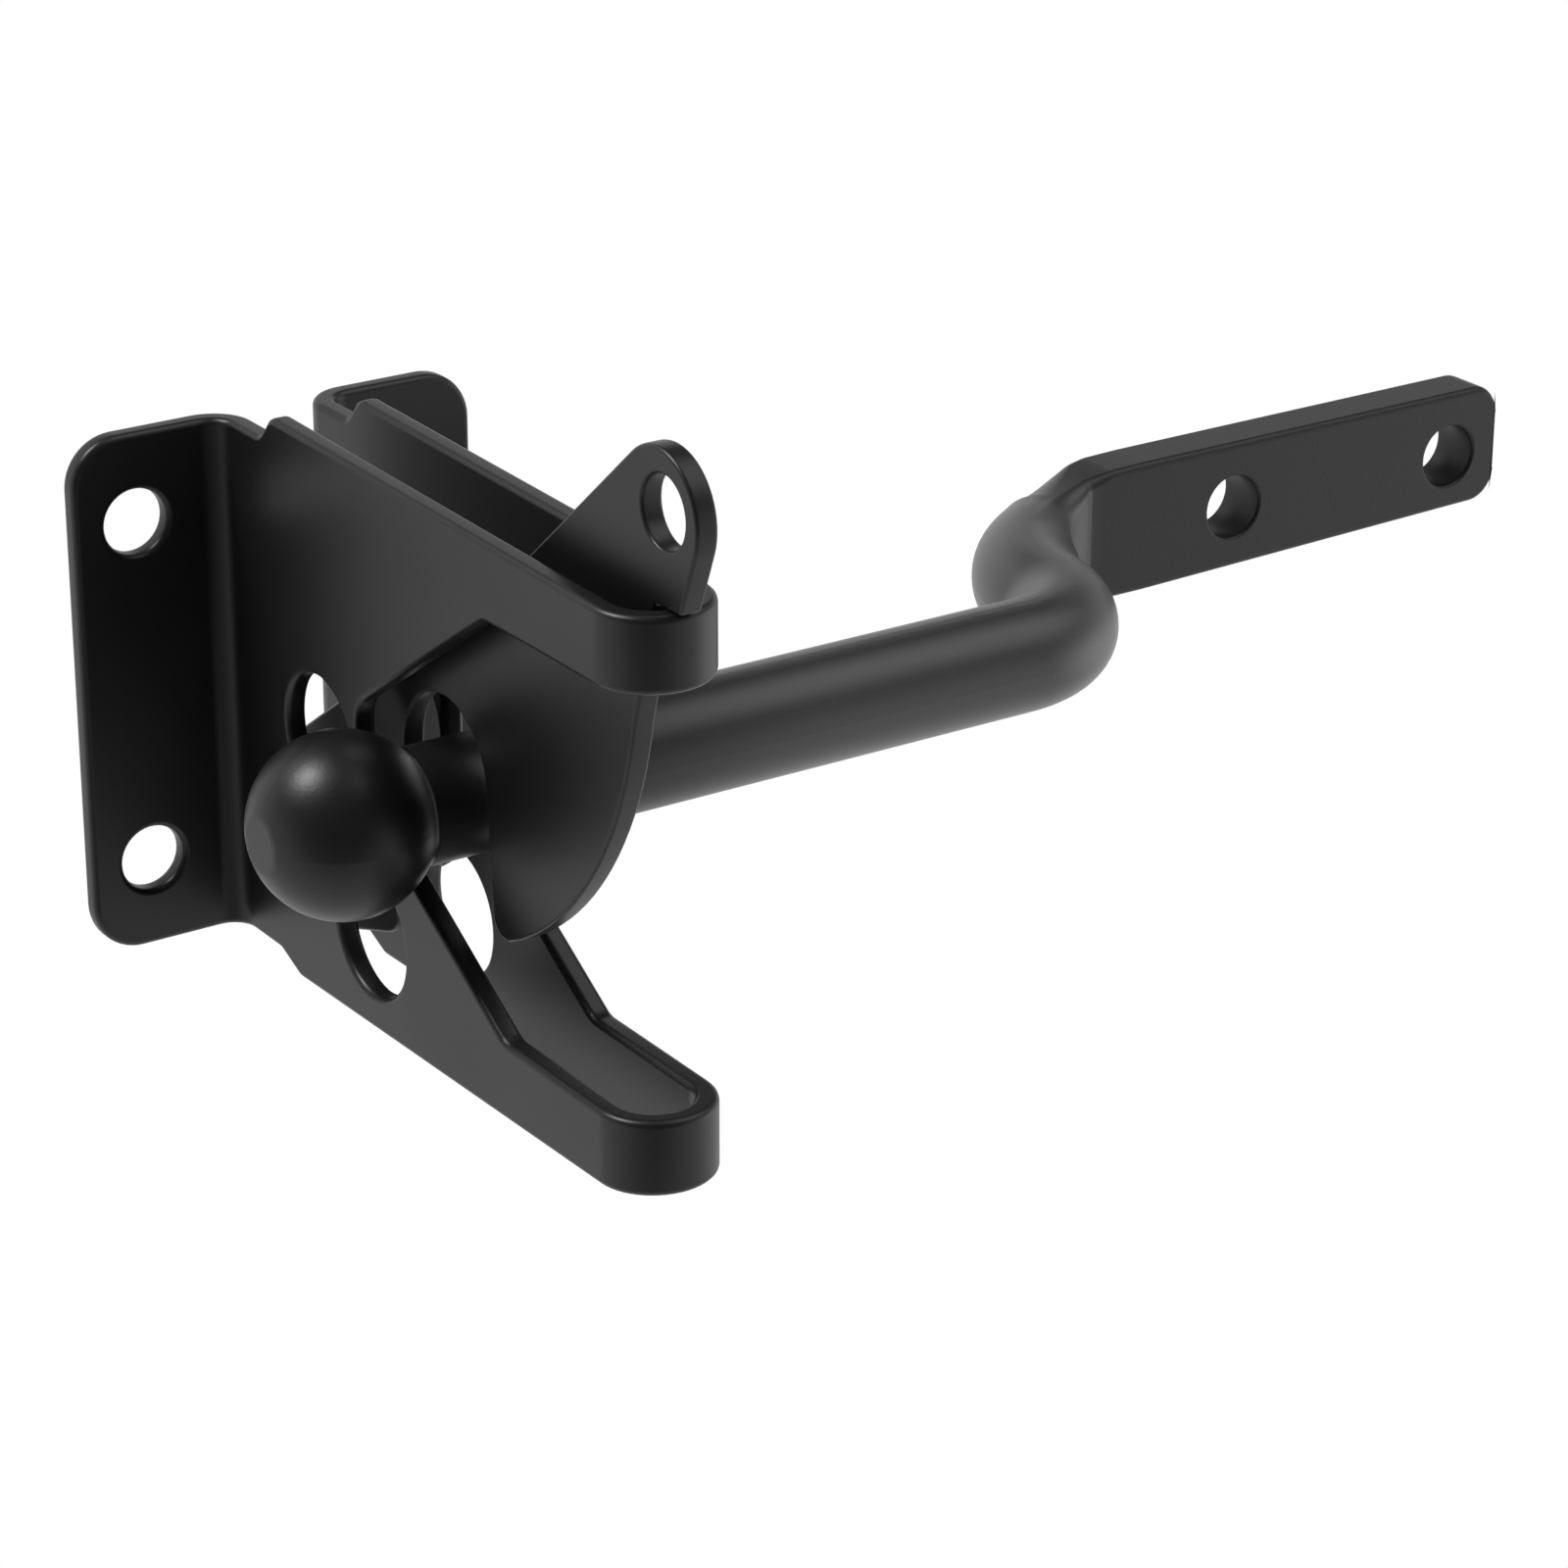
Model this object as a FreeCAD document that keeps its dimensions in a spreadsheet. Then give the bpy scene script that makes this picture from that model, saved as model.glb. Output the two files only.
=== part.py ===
import FreeCAD, Part

import math
import os

import Sketcher
from FreeCAD import Placement, Rotation, Vector

# Post-mounted gate latch with a round striker bar, in millimetres.
# +X runs along the striker bar, +Y into the post, +Z up. The origin is the middle of the
# bracket's four screw holes, on the plane where the bracket meets the post. Sizes called
# "reach" are measured forward from that plane, so they point along -Y.

SIZES = [
    # Bracket: one folded sheet, two flanges and two side plates
    ("sheet", 2.5, "thickness of the folded sheet"),
    ("plate_gap", 8.0, "clear gap between the two side plates"),
    ("bend_radius", 2.5, "inside radius where a plate turns into its flange"),
    ("flange_side", 24.1, "middle of the bracket to a flange's outer edge"),
    ("flange_half", 29.4, "half height of the flanges"),
    ("flange_corner", 5.6, "corner radius of the flanges"),
    ("screw_side", 16.8, "middle of the bracket to a screw hole"),
    ("screw_rise", 19.4, "mid height to a screw hole"),
    ("screw_hole", 7.3, "diameter of a screw hole"),
    ("top_over", 2.9, "side plates' top edge above the flanges"),
    ("top_fall", 1.0, "fall of the top edge from the post to the nose"),
    ("low_over", 1.8, "side plates' bottom edge below the flanges"),
    ("low_rise", 1.4, "rise of the bottom edge from the post to the lip"),
    ("nose_reach", 83.8, "reach of the folded nose and lip"),
    ("top_step_start", 11.0, "reach where the top edge leaves the flange height"),
    ("top_step_end", 13.4, "reach where the top edge is full height"),
    ("low_step_start", 11.4, "reach where the bottom edge leaves the flange height"),
    ("low_step_end", 15.6, "reach where the bottom edge is full depth"),
    ("step_round", 1.8, "rounding at the two steps"),
    # Mouth that the striker bar enters
    ("nose_high", 8.0, "height of the arm above the mouth, at the nose"),
    ("lip_high", 8.2, "height of the arm below the mouth, at the lip"),
    ("upper_slope", 33.7, "slope of the mouth's upper edge, in degrees"),
    ("lower_slope", 31.2, "slope of the mouth's lower edge, in degrees"),
    ("seat_gap", 0.38, "gap between the closed bar and the lower slope"),
    ("throat_gap", 3.9, "gap between the bar and the mouth's inner end"),
    ("throat_over", 1.7, "height of the mouth's inner end above the bar"),
    ("mouth_round", 3.0, "rounding where the slopes meet the arms"),
    ("throat_round", 4.2, "rounding at the mouth's inner end"),
    # Round windows through both side plates
    ("lock_reach", 21.9, "reach of the upper window"),
    ("lock_drop", 1.0, "upper window below mid height"),
    ("lock_hole", 14.0, "diameter of the upper window"),
    ("drain_reach", 31.9, "reach of the lower window"),
    ("drain_drop", 19.8, "lower window below mid height"),
    ("drain_hole", 14.2, "diameter of the lower window"),
    # Pivot: rivet, spacers and spring
    ("pivot_reach", 13.0, "reach of the pivot"),
    ("pivot_drop", 10.0, "pivot below mid height"),
    ("shank", 5.0, "diameter of the rivet's shank"),
    ("rivet_fit", 0.03, "radial clearance of the shank in the plates"),
    ("pivot_fit", 0.08, "radial clearance of the shank in the pawl and spacers"),
    ("head", 7.8, "diameter of the rivet's two heads"),
    ("head_high", 1.5, "height of a rivet head"),
    ("side_play", 0.1, "gap at each end of a spacer"),
    ("spacer", 8.4, "outside diameter of the plain spacer"),
    ("sleeve", 6.6, "outside diameter of the sleeve inside the spring"),
    ("spring_wire", 0.65, "diameter of the spring wire"),
    ("spring_coil", 8.4, "mean diameter of the spring"),
    ("spring_turns", 2.0, "full turns of the spring"),
    ("leg_slack", 0.05, "how much wider than the wire's radius the spring's leg bends are"),
    ("leg_hole", 1.2, "diameter of the two small holes that hold the spring's legs"),
    ("plate_leg_back", 0.8, "leg hole in the left plate, behind the pivot"),
    ("plate_leg_below", 10.6, "leg hole in the left plate, below the pivot"),
    ("pawl_leg_back", 6.0, "leg hole in the pawl, behind the heel's front corner"),
    ("pawl_leg_above", 4.0, "leg hole in the pawl, above the heel's front corner"),
    # Pawl: one flat plate between the side plates
    ("pawl_thick", 2.5, "thickness of the pawl"),
    ("eye_back", 2.2, "cord eye behind the nose's front"),
    ("eye_above", 9.7, "cord eye above the nose's top edge"),
    ("eye", 7.5, "diameter of the cord eye"),
    ("tab_back", 1.0, "centre of the tab's round end behind the eye"),
    ("tab_below", 0.6, "centre of the tab's round end below the eye"),
    ("tab_end", 6.9, "radius of the tab's round end"),
    ("tab_slope", 40.6, "slope of the tab's back edge, in degrees"),
    ("tab_run", 28.4, "length of the back edge, measured forward"),
    ("boss", 6.4, "radius of the pawl round the pivot"),
    ("shoulder_lap", 0.7, "shoulder that sits on the nose, forward of the nose's front"),
    ("shoulder_gap", 0.15, "gap between the shoulder and the nose at rest"),
    ("nose_play", 1.1, "gap between the pawl and the inside of the nose"),
    ("brow_back", 7.6, "start of the curved front, behind the nose's front"),
    ("brow_below", 13.8, "start of the curved front, below the nose's top edge"),
    ("front_radius", 45.0, "radius of the curved front"),
    ("hook_gap", 0.8, "gap between the bar and the hook"),
    ("hook_lean", 1.0, "how far the hook's inner edge leans forward at its foot"),
    ("toe_width", 2.8, "width of the toe's flat end"),
    ("toe_front", 2.4, "curved front's end, forward of the toe's flat"),
    ("toe_lift", 1.1, "curved front's end, above the toe's flat"),
    ("toe_hang", 5.95, "toe below the bar"),
    ("toe_round", 2.2, "rounding of the toe's inner corner"),
    ("cradle_gap", 1.95, "gap between the bar and the pawl's cradle at its sides"),
    ("cradle_lift", 2.6, "cradle's centre above the bar's axis"),
    ("heel_taper", 3.0, "heel's front corner behind the cradle's back edge"),
    ("heel_drop", 22.6, "heel's lower front corner, below mid height"),
    ("heel_width", 13.4, "width of the heel's foot"),
    ("heel_lift", 4.4, "heel's front corner above its lowest corner"),
    ("heel_round", 3.6, "rounding of the heel's corners"),
    # Striker bar: one forged round bar with a ball end and a flat strap
    ("bar_size", 12.7, "diameter of the bar"),
    ("bar_reach", 40.5, "reach of the bar's axis at the latch"),
    ("bar_drop", 2.4, "bar's axis below mid height"),
    ("ball_size", 19.8, "diameter of the ball end"),
    ("ball_side", 14.1, "ball's centre to the left of the bracket's middle"),
    ("ball_facet", 7.4, "diameter of the flat on the ball"),
    ("bend_start", 71.3, "distance along X where the bar starts to bend back"),
    ("first_bend", 12.7, "centre-line radius of the first bend"),
    ("bend_angle", 82.0, "turn of each bend, in degrees"),
    ("strap_reach", 11.75, "reach of the strap's mid plane"),
    ("strap_thick", 6.7, "thickness of the strap"),
    ("strap_high", 16.2, "height of the strap where it starts"),
    ("strap_taper", 1.4, "rise of the strap's lower edge towards its end"),
    ("strap_end", 163.9, "distance along X of the strap's end"),
    ("flare_start", 14.0, "start of the flare, before the second bend's end"),
    ("flare_high", 9.6, "height of the flare's hidden start inside the bar"),
    ("flare_end", 0.6, "full height of the strap, after the second bend's end"),
    ("flare_round", 14.0, "rounding where the flare reaches the strap's height"),
    ("flat_start", 3.6, "start of the strap's front face, before the second bend's end"),
    ("strap_corner", 3.2, "corner radius of the strap's end"),
    ("strap_hole", 7.8, "diameter of the strap's screw holes"),
    ("strap_first", 122.5, "distance along X of the strap's first hole"),
    ("strap_pitch", 34.0, "distance between the strap's holes"),
]

PLATE_TOP = "(Sizes.flange_half + Sizes.top_over)"
NOSE_TOP = "(%s - Sizes.top_fall)" % PLATE_TOP
PLATE_DROP = "(Sizes.flange_half + Sizes.low_over)"
LIP_DROP = "(%s - Sizes.low_rise)" % PLATE_DROP
MOUTH_TOP = "(%s - Sizes.nose_high)" % NOSE_TOP
MOUTH_DROP = "(%s - Sizes.lip_high)" % LIP_DROP
THROAT = "(Sizes.bar_reach - Sizes.bar_size / 2 - Sizes.throat_gap)"
THROAT_TOP = "(Sizes.bar_size / 2 + Sizes.throat_over - Sizes.bar_drop)"
HOOK = "(Sizes.bar_reach + Sizes.bar_size / 2 + Sizes.hook_gap)"
CRADLE = "(Sizes.bar_size / 2 + Sizes.cradle_gap)"
HEEL = "(%s - 2 * %s - Sizes.heel_taper)" % (HOOK, CRADLE)
EYE = "(Sizes.nose_reach - Sizes.eye_back)"
EYE_RISE = "(%s + Sizes.eye_above)" % NOSE_TOP
PLATE_LEG = (
    "(Sizes.pivot_reach - Sizes.plate_leg_back)",
    "(Sizes.pivot_drop + Sizes.plate_leg_below)",
)
PAWL_LEG = (
    "(%s - Sizes.pawl_leg_back)" % HEEL,
    "(Sizes.heel_drop - Sizes.pawl_leg_above)",
)
SIDEWAYS = Vector(1, 0, 0)
FORWARD = Vector(0, -1, 0)
COIL_STEPS = 14
WIRE_FLATS = 6


def make_sheet(doc):
    """Write the driving sizes into a spreadsheet, one named cell a row."""
    sheet = doc.addObject("Spreadsheet::Sheet", "Sizes")
    for row, (name, size, note) in enumerate(SIZES, start=1):
        sheet.set("A%d" % row, name)
        sheet.set("B%d" % row, str(size))
        sheet.setAlias("B%d" % row, name)
        sheet.set("C%d" % row, note)
    doc.recompute()
    return sheet


doc = FreeCAD.newDocument("gate_latch")
sheet = make_sheet(doc)


def size(name):
    """The number held in a named cell."""
    return float(sheet.get(name))


def number(text):
    """The value of an expression in the sheet's names, such as 'Sizes.bar_size / 2'."""
    found = sheet.evalExpression(text)
    return float(getattr(found, "Value", found))


def new_body(name):
    body = doc.addObject("PartDesign::Body", name)
    body.Label = name
    return body


def new_sketch(body, plane, name, offset=None):
    """A sketch on one of the body's own origin planes, moved along it by expressions."""
    sketch = body.newObject("Sketcher::SketchObject", name)
    planes = [item for item in body.Origin.OriginFeatures if item.Role == plane]
    sketch.AttachmentSupport = [(planes[0], "")]
    sketch.MapMode = "FlatFace"
    for axis, text in (offset or {}).items():
        sketch.setExpression(".AttachmentOffset.Base.%s" % axis, text)
    doc.recompute()
    return sketch


def bind(sketch, constraint, text):
    """Add a constraint whose value follows the sheet."""
    index = sketch.addConstraint(constraint)
    sketch.setExpression("Constraints[%d]" % index, text)


def hold_point(sketch, geometry, end, across, up):
    """Fix a sketch point at two expressions, measured from the sketch's origin."""
    for kind, axis, text in (("DistanceX", -2, across), ("DistanceY", -1, up)):
        if text == "0":
            sketch.addConstraint(Sketcher.Constraint("PointOnObject", geometry, end, axis))
        else:
            start = Sketcher.Constraint(kind, -1, 1, geometry, end, number(text))
            bind(sketch, start, text)


def arc_middle(start, end, radius, side):
    """The middle point of an arc between two points, bulging to one side of the chord."""
    chord = end - start
    half = chord.Length / 2
    rise = radius - math.sqrt(max(radius * radius - half * half, 0))
    normal = Vector(chord.y, -chord.x, 0).normalize()
    return (start + end) * 0.5 + normal * (rise * side)


def draw_edge(sketch, corner, start, end):
    """A line, or the arc that a corner asks for, with the ends that come first and last."""
    if len(corner) == 2:
        edge = sketch.addGeometry(Part.LineSegment(start, end), False)
        return edge, 1, 2
    radius = number(corner[2])
    middle = arc_middle(start, end, radius, corner[3])
    edge = sketch.addGeometry(Part.Arc(start, middle, end), False)
    if radius - (end - start).Length / 2 < 1e-6:
        centre = Sketcher.Constraint("DistanceY", -1, 1, edge, 3, number(corner[1]))
        bind(sketch, centre, corner[1])
    else:
        bind(sketch, Sketcher.Constraint("Radius", edge, radius), corner[2])
    if sketch.getPoint(edge, 1).distanceToPoint(start) < 1e-6:
        return edge, 1, 2
    return edge, 2, 1


def draw_outline(sketch, corners, closed=True):
    """Outline through corners. Each is (across, up), or (across, up, radius, side) where
    an arc leaves it; side is 1 for an arc that bulges to the right of the travel."""
    spots = [Vector(number(corner[0]), number(corner[1]), 0) for corner in corners]
    spots = spots + spots[:1] if closed else spots
    edges = []
    for index in range(len(spots) - 1):
        edges.append(draw_edge(sketch, corners[index], spots[index], spots[index + 1]))
    for index, (edge, first, last) in enumerate(edges):
        hold_point(sketch, edge, first, corners[index][0], corners[index][1])
        if closed or index + 1 < len(edges):
            after, after_first, after_last = edges[(index + 1) % len(edges)]
            join = Sketcher.Constraint("Coincident", edge, last, after, after_first)
            sketch.addConstraint(join)
        else:
            hold_point(sketch, edge, last, corners[-1][0], corners[-1][1])
    doc.recompute()


def draw_circle(sketch, across, up, diameter):
    centre = Vector(number(across), number(up), 0)
    circle = Part.Circle(centre, Vector(0, 0, 1), number(diameter) / 2)
    edge = sketch.addGeometry(circle, False)
    hold_point(sketch, edge, 3, across, up)
    bind(sketch, Sketcher.Constraint("Diameter", edge, number(diameter)), diameter)
    doc.recompute()


def pad(body, sketch, name, length):
    """Pad a sketch to both sides alike."""
    feature = body.newObject("PartDesign::Pad", name)
    feature.Profile = sketch
    feature.SideType = "Symmetric"
    feature.setExpression("Length", length)
    doc.recompute()
    return feature


def pad_between(body, sketch, name, above, below):
    """Pad a sketch by two lengths, one to each side."""
    feature = body.newObject("PartDesign::Pad", name)
    feature.Profile = sketch
    feature.SideType = "Two sides"
    feature.setExpression("Length", above)
    feature.setExpression("Length2", below)
    doc.recompute()
    return feature


def cut_through(body, sketch, name):
    """Pocket a sketch through the whole body, to both sides."""
    before = body.Shape.Volume
    feature = body.newObject("PartDesign::Pocket", name)
    feature.Profile = sketch
    feature.SideType = "Symmetric"
    feature.Type = "ThroughAll"
    doc.recompute()
    if body.Shape.Volume > before - 0.01:
        raise RuntimeError("%s cuts nothing" % name)
    return feature


def round_edges(body, name, spots, along, radius):
    """Fillet the straight edges that run along a direction through the given points."""
    base = body.Tip
    found = []
    for index, edge in enumerate(base.Shape.Edges, start=1):
        if not isinstance(edge.Curve, Part.Line):
            continue
        run = edge.tangentAt(edge.FirstParameter)
        if abs(abs(run.dot(along)) - 1) > 1e-6:
            continue
        for spot in spots:
            offset = edge.Vertexes[0].Point - spot
            if (offset - along * offset.dot(along)).Length < 1e-4:
                found.append("Edge%d" % index)
    if not found:
        raise RuntimeError("%s finds no edge" % name)
    feature = body.newObject("PartDesign::Fillet", name)
    feature.Base = (base, found)
    feature.setExpression("Radius", radius)
    doc.recompute()
    return feature


def side_point(reach, height):
    """A point of the side view, from a reach and a height."""
    return Vector(0, -reach, height)


def make_bracket():
    """Fold one sheet: flange, bend, side plate, nose and lip, side plate, bend, flange."""
    body = new_body("latch_bracket")
    outer = "(Sizes.plate_gap / 2 + Sizes.sheet)"
    turn = "(Sizes.bend_radius + Sizes.sheet)"
    corner = "(%s + Sizes.bend_radius)" % outer
    centre = "-(Sizes.nose_reach - %s)" % outer
    strip = new_sketch(body, "XY_Plane", "folded_strip")
    draw_outline(strip, [
        ("-Sizes.flange_side", "0"),
        ("-" + corner, "0", turn, -1),
        ("-Sizes.plate_gap / 2", "-" + turn),
        ("-Sizes.plate_gap / 2", centre, "Sizes.plate_gap / 2", 1),
        ("Sizes.plate_gap / 2", centre),
        ("Sizes.plate_gap / 2", "-" + turn, turn, -1),
        (corner, "0"),
        ("Sizes.flange_side", "0"),
        ("Sizes.flange_side", "-Sizes.sheet"),
        (corner, "-Sizes.sheet", "Sizes.bend_radius", 1),
        (outer, "-" + turn),
        (outer, centre, outer, -1),
        ("-" + outer, centre),
        ("-" + outer, "-" + turn, "Sizes.bend_radius", 1),
        ("-" + corner, "-Sizes.sheet"),
        ("-Sizes.flange_side", "-Sizes.sheet"),
    ])
    pad_between(body, strip, "folded_sheet", PLATE_TOP, PLATE_DROP)
    trim_flanges(body)
    cut_mouth(body)
    drill_bracket(body)
    return body


def trim_flanges(body):
    """Cut the flanges and bends down to their height, and round their outer corners."""
    above = new_sketch(body, "YZ_Plane", "above_flanges")
    draw_outline(above, [
        ("Sizes.sheet", "Sizes.flange_half"),
        ("-Sizes.top_step_start", "Sizes.flange_half"),
        ("-Sizes.top_step_end", PLATE_TOP),
        ("-Sizes.nose_reach", NOSE_TOP),
        ("-Sizes.nose_reach - Sizes.sheet", NOSE_TOP),
        ("-Sizes.nose_reach - Sizes.sheet", PLATE_TOP + " + Sizes.sheet"),
        ("Sizes.sheet", PLATE_TOP + " + Sizes.sheet"),
    ])
    cut_through(body, above, "top_step")
    below = new_sketch(body, "YZ_Plane", "below_flanges")
    draw_outline(below, [
        ("Sizes.sheet", "-Sizes.flange_half"),
        ("-Sizes.low_step_start", "-Sizes.flange_half"),
        ("-Sizes.low_step_end", "-" + PLATE_DROP),
        ("-Sizes.nose_reach", "-" + LIP_DROP),
        ("-Sizes.nose_reach - Sizes.sheet", "-" + LIP_DROP),
        ("-Sizes.nose_reach - Sizes.sheet", "-%s - Sizes.sheet" % PLATE_DROP),
        ("Sizes.sheet", "-%s - Sizes.sheet" % PLATE_DROP),
    ])
    cut_through(body, below, "bottom_step")
    steps = [
        side_point(size("top_step_start"), size("flange_half")),
        side_point(size("top_step_end"), number(PLATE_TOP)),
        side_point(size("low_step_start"), -size("flange_half")),
        side_point(size("low_step_end"), -number(PLATE_DROP)),
    ]
    round_edges(body, "step_rounding", steps, SIDEWAYS, "Sizes.step_round")
    corners = [
        Vector(side * size("flange_side"), 0, rise * size("flange_half"))
        for side in (-1, 1) for rise in (-1, 1)
    ]
    round_edges(body, "flange_corners", corners, FORWARD, "Sizes.flange_corner")


def cut_mouth(body):
    """Cut the funnel mouth through both side plates and the fold between them."""
    mouth = new_sketch(body, "YZ_Plane", "mouth_outline")
    front = "-(Sizes.nose_reach + Sizes.sheet)"
    under = "((Sizes.bar_size / 2 + Sizes.seat_gap) / cos(Sizes.lower_slope))"
    throat_low = "(%s * tan(Sizes.lower_slope) - %s - Sizes.bar_drop)" % (
        "(Sizes.bar_size / 2 + Sizes.throat_gap)", under)
    upper_start = "(%s + (%s - %s) / tan(Sizes.upper_slope))" % (
        THROAT, MOUTH_TOP, THROAT_TOP)
    lower_start = "(%s + (%s + %s) / tan(Sizes.lower_slope))" % (
        THROAT, MOUTH_DROP, throat_low)
    draw_outline(mouth, [
        (front, MOUTH_TOP),
        ("-" + upper_start, MOUTH_TOP),
        ("-" + THROAT, THROAT_TOP),
        ("-" + THROAT, throat_low),
        ("-" + lower_start, "-" + MOUTH_DROP),
        (front, "-" + MOUTH_DROP),
    ])
    cut_through(body, mouth, "mouth")
    slopes = [
        side_point(number(upper_start), number(MOUTH_TOP)),
        side_point(number(lower_start), -number(MOUTH_DROP)),
    ]
    round_edges(body, "mouth_rounding", slopes, SIDEWAYS, "Sizes.mouth_round")
    ends = [
        side_point(number(THROAT), number(THROAT_TOP)),
        side_point(number(THROAT), number(throat_low)),
    ]
    round_edges(body, "throat_rounding", ends, SIDEWAYS, "Sizes.throat_round")


def drill_bracket(body):
    """Screw holes, the two windows, the rivet's holes and the spring's leg hole."""
    screws = new_sketch(body, "XZ_Plane", "screw_circles")
    for side in ("-", ""):
        for rise in ("-", ""):
            draw_circle(screws, side + "Sizes.screw_side", rise + "Sizes.screw_rise",
                        "Sizes.screw_hole")
    cut_through(body, screws, "screw_holes")
    windows = new_sketch(body, "YZ_Plane", "side_circles")
    draw_circle(windows, "-Sizes.lock_reach", "-Sizes.lock_drop", "Sizes.lock_hole")
    draw_circle(windows, "-Sizes.drain_reach", "-Sizes.drain_drop", "Sizes.drain_hole")
    draw_circle(windows, "-Sizes.pivot_reach", "-Sizes.pivot_drop",
                "Sizes.shank + 2 * Sizes.rivet_fit")
    cut_through(body, windows, "side_holes")
    leg = new_sketch(body, "YZ_Plane", "leg_circle")
    draw_circle(leg, "-" + PLATE_LEG[0], "-" + PLATE_LEG[1], "Sizes.leg_hole")
    hole = body.newObject("PartDesign::Pocket", "leg_hole")
    hole.Profile = leg
    hole.Type = "ThroughAll"
    doc.recompute()


def touch(centre, radius, outside, turn):
    """Where a line from an outside point touches a circle, as two expressions."""
    across = "(%s - (%s))" % (outside[0], centre[0])
    up = "(%s - (%s))" % (outside[1], centre[1])
    lean = "acos(%s / hypot(%s; %s))" % (radius, across, up)
    angle = "(atan2(%s; %s) %s %s)" % (up, across, turn, lean)
    return (
        "%s + %s * cos(%s)" % (centre[0], radius, angle),
        "%s + %s * sin(%s)" % (centre[1], radius, angle),
    )


def make_pawl():
    """Cut the pawl from plate: tab, curved front, hook, cradle over the bar, heel, boss."""
    body = new_body("pawl")
    seat = "(%s + Sizes.shoulder_gap)" % NOSE_TOP
    inside = "-(Sizes.nose_reach - Sizes.sheet - Sizes.nose_play)"
    pivot = ("-Sizes.pivot_reach", "-Sizes.pivot_drop")
    end = ("-(%s - Sizes.tab_back)" % EYE, "(%s - Sizes.tab_below)" % EYE_RISE)
    foot = ("-(Sizes.nose_reach + Sizes.shoulder_lap)", seat)
    heel = ("-(%s - Sizes.heel_width)" % HEEL, "-(Sizes.heel_drop + Sizes.heel_lift)")
    back = (
        "(%s + Sizes.tab_end * sin(Sizes.tab_slope))" % end[0],
        "(%s + Sizes.tab_end * cos(Sizes.tab_slope))" % end[1],
    )
    knee = (
        "(%s + Sizes.tab_run)" % end[0],
        "(%s - (%s + Sizes.tab_run - %s) * tan(Sizes.tab_slope))" % (
            back[1], end[0], back[0]),
    )
    toe = "(%s + Sizes.hook_lean + Sizes.toe_width)" % HOOK
    toe_low = "(Sizes.bar_drop + Sizes.bar_size / 2 + Sizes.toe_hang)"
    cradle = "(Sizes.cradle_lift - Sizes.bar_drop)"
    outline = new_sketch(body, "YZ_Plane", "pawl_outline")
    draw_outline(outline, [
        back + ("Sizes.tab_end", 1),
        touch(end, "Sizes.tab_end", foot, "-"),
        foot,
        (inside, seat),
        ("-(Sizes.nose_reach - Sizes.brow_back)", NOSE_TOP + " - Sizes.brow_below",
         "Sizes.front_radius", 1),
        ("-(%s + Sizes.toe_front)" % toe, "-(%s - Sizes.toe_lift)" % toe_low),
        ("-" + toe, "-" + toe_low),
        ("-(%s + Sizes.hook_lean)" % HOOK, "-" + toe_low),
        ("-" + HOOK, cradle, CRADLE, -1),
        ("-(%s - 2 * %s)" % (HOOK, CRADLE), cradle),
        ("-" + HEEL, "-Sizes.heel_drop"),
        heel,
        touch(pivot, "Sizes.boss", heel, "+") + ("Sizes.boss", 1),
        touch(pivot, "Sizes.boss", knee, "-"),
        knee,
    ])
    pad(body, outline, "pawl_plate", "Sizes.pawl_thick")
    round_edges(body, "heel_rounding", [
        side_point(number(HEEL), -size("heel_drop")),
        side_point(-number(heel[0]), number(heel[1])),
    ], SIDEWAYS, "Sizes.heel_round")
    round_edges(body, "toe_rounding", [
        side_point(number(HOOK) + size("hook_lean"), -number(toe_low)),
    ], SIDEWAYS, "Sizes.toe_round")
    holes = new_sketch(body, "YZ_Plane", "pawl_circles")
    draw_circle(holes, "-" + EYE, EYE_RISE, "Sizes.eye")
    draw_circle(holes, pivot[0], pivot[1], "Sizes.shank + 2 * Sizes.pivot_fit")
    draw_circle(holes, "-" + PAWL_LEG[0], "-" + PAWL_LEG[1], "Sizes.leg_hole")
    cut_through(body, holes, "pawl_holes")
    return body


def pivot_sketch(body, name):
    """A sketch whose horizontal axis is the pivot's axis."""
    return new_sketch(body, "XZ_Plane", name, {
        "y": "-Sizes.pivot_drop",
        "z": "Sizes.pivot_reach",
    })


def spin(body, sketch, name):
    """Turn a half profile once round the sketch's horizontal axis."""
    feature = body.newObject("PartDesign::Revolution", name)
    feature.Profile = sketch
    feature.ReferenceAxis = (sketch, ["H_Axis"])
    feature.Angle = 360
    doc.recompute()
    return feature


def make_rivet():
    """The pivot: a plain shank with a low bevelled head on each side plate."""
    body = new_body("pivot_rivet")
    outer = "(Sizes.plate_gap / 2 + Sizes.sheet)"
    rim = "(%s + Sizes.head_high / 2)" % outer
    tip = "(%s + Sizes.head_high)" % outer
    profile = pivot_sketch(body, "rivet_profile")
    draw_outline(profile, [
        ("-" + tip, "0"),
        ("-" + tip, "Sizes.head / 4"),
        ("-" + rim, "Sizes.head / 2"),
        ("-" + outer, "Sizes.head / 2"),
        ("-" + outer, "Sizes.shank / 2"),
        (outer, "Sizes.shank / 2"),
        (outer, "Sizes.head / 2"),
        (rim, "Sizes.head / 2"),
        (tip, "Sizes.head / 4"),
        (tip, "0"),
    ])
    spin(body, profile, "rivet")
    return body


def make_spacer(name, side, diameter):
    """A plain tube on the rivet, between one side plate and the pawl."""
    body = new_body(name)
    near = "%s(Sizes.pawl_thick / 2 + Sizes.side_play)" % side
    far = "%s(Sizes.plate_gap / 2 - Sizes.side_play)" % side
    bore = "(Sizes.shank / 2 + Sizes.pivot_fit)"
    profile = pivot_sketch(body, name + "_profile")
    draw_outline(profile, [
        (near, bore),
        (far, bore),
        (far, diameter + " / 2"),
        (near, diameter + " / 2"),
    ])
    spin(body, profile, name + "_tube")
    return body


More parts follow.
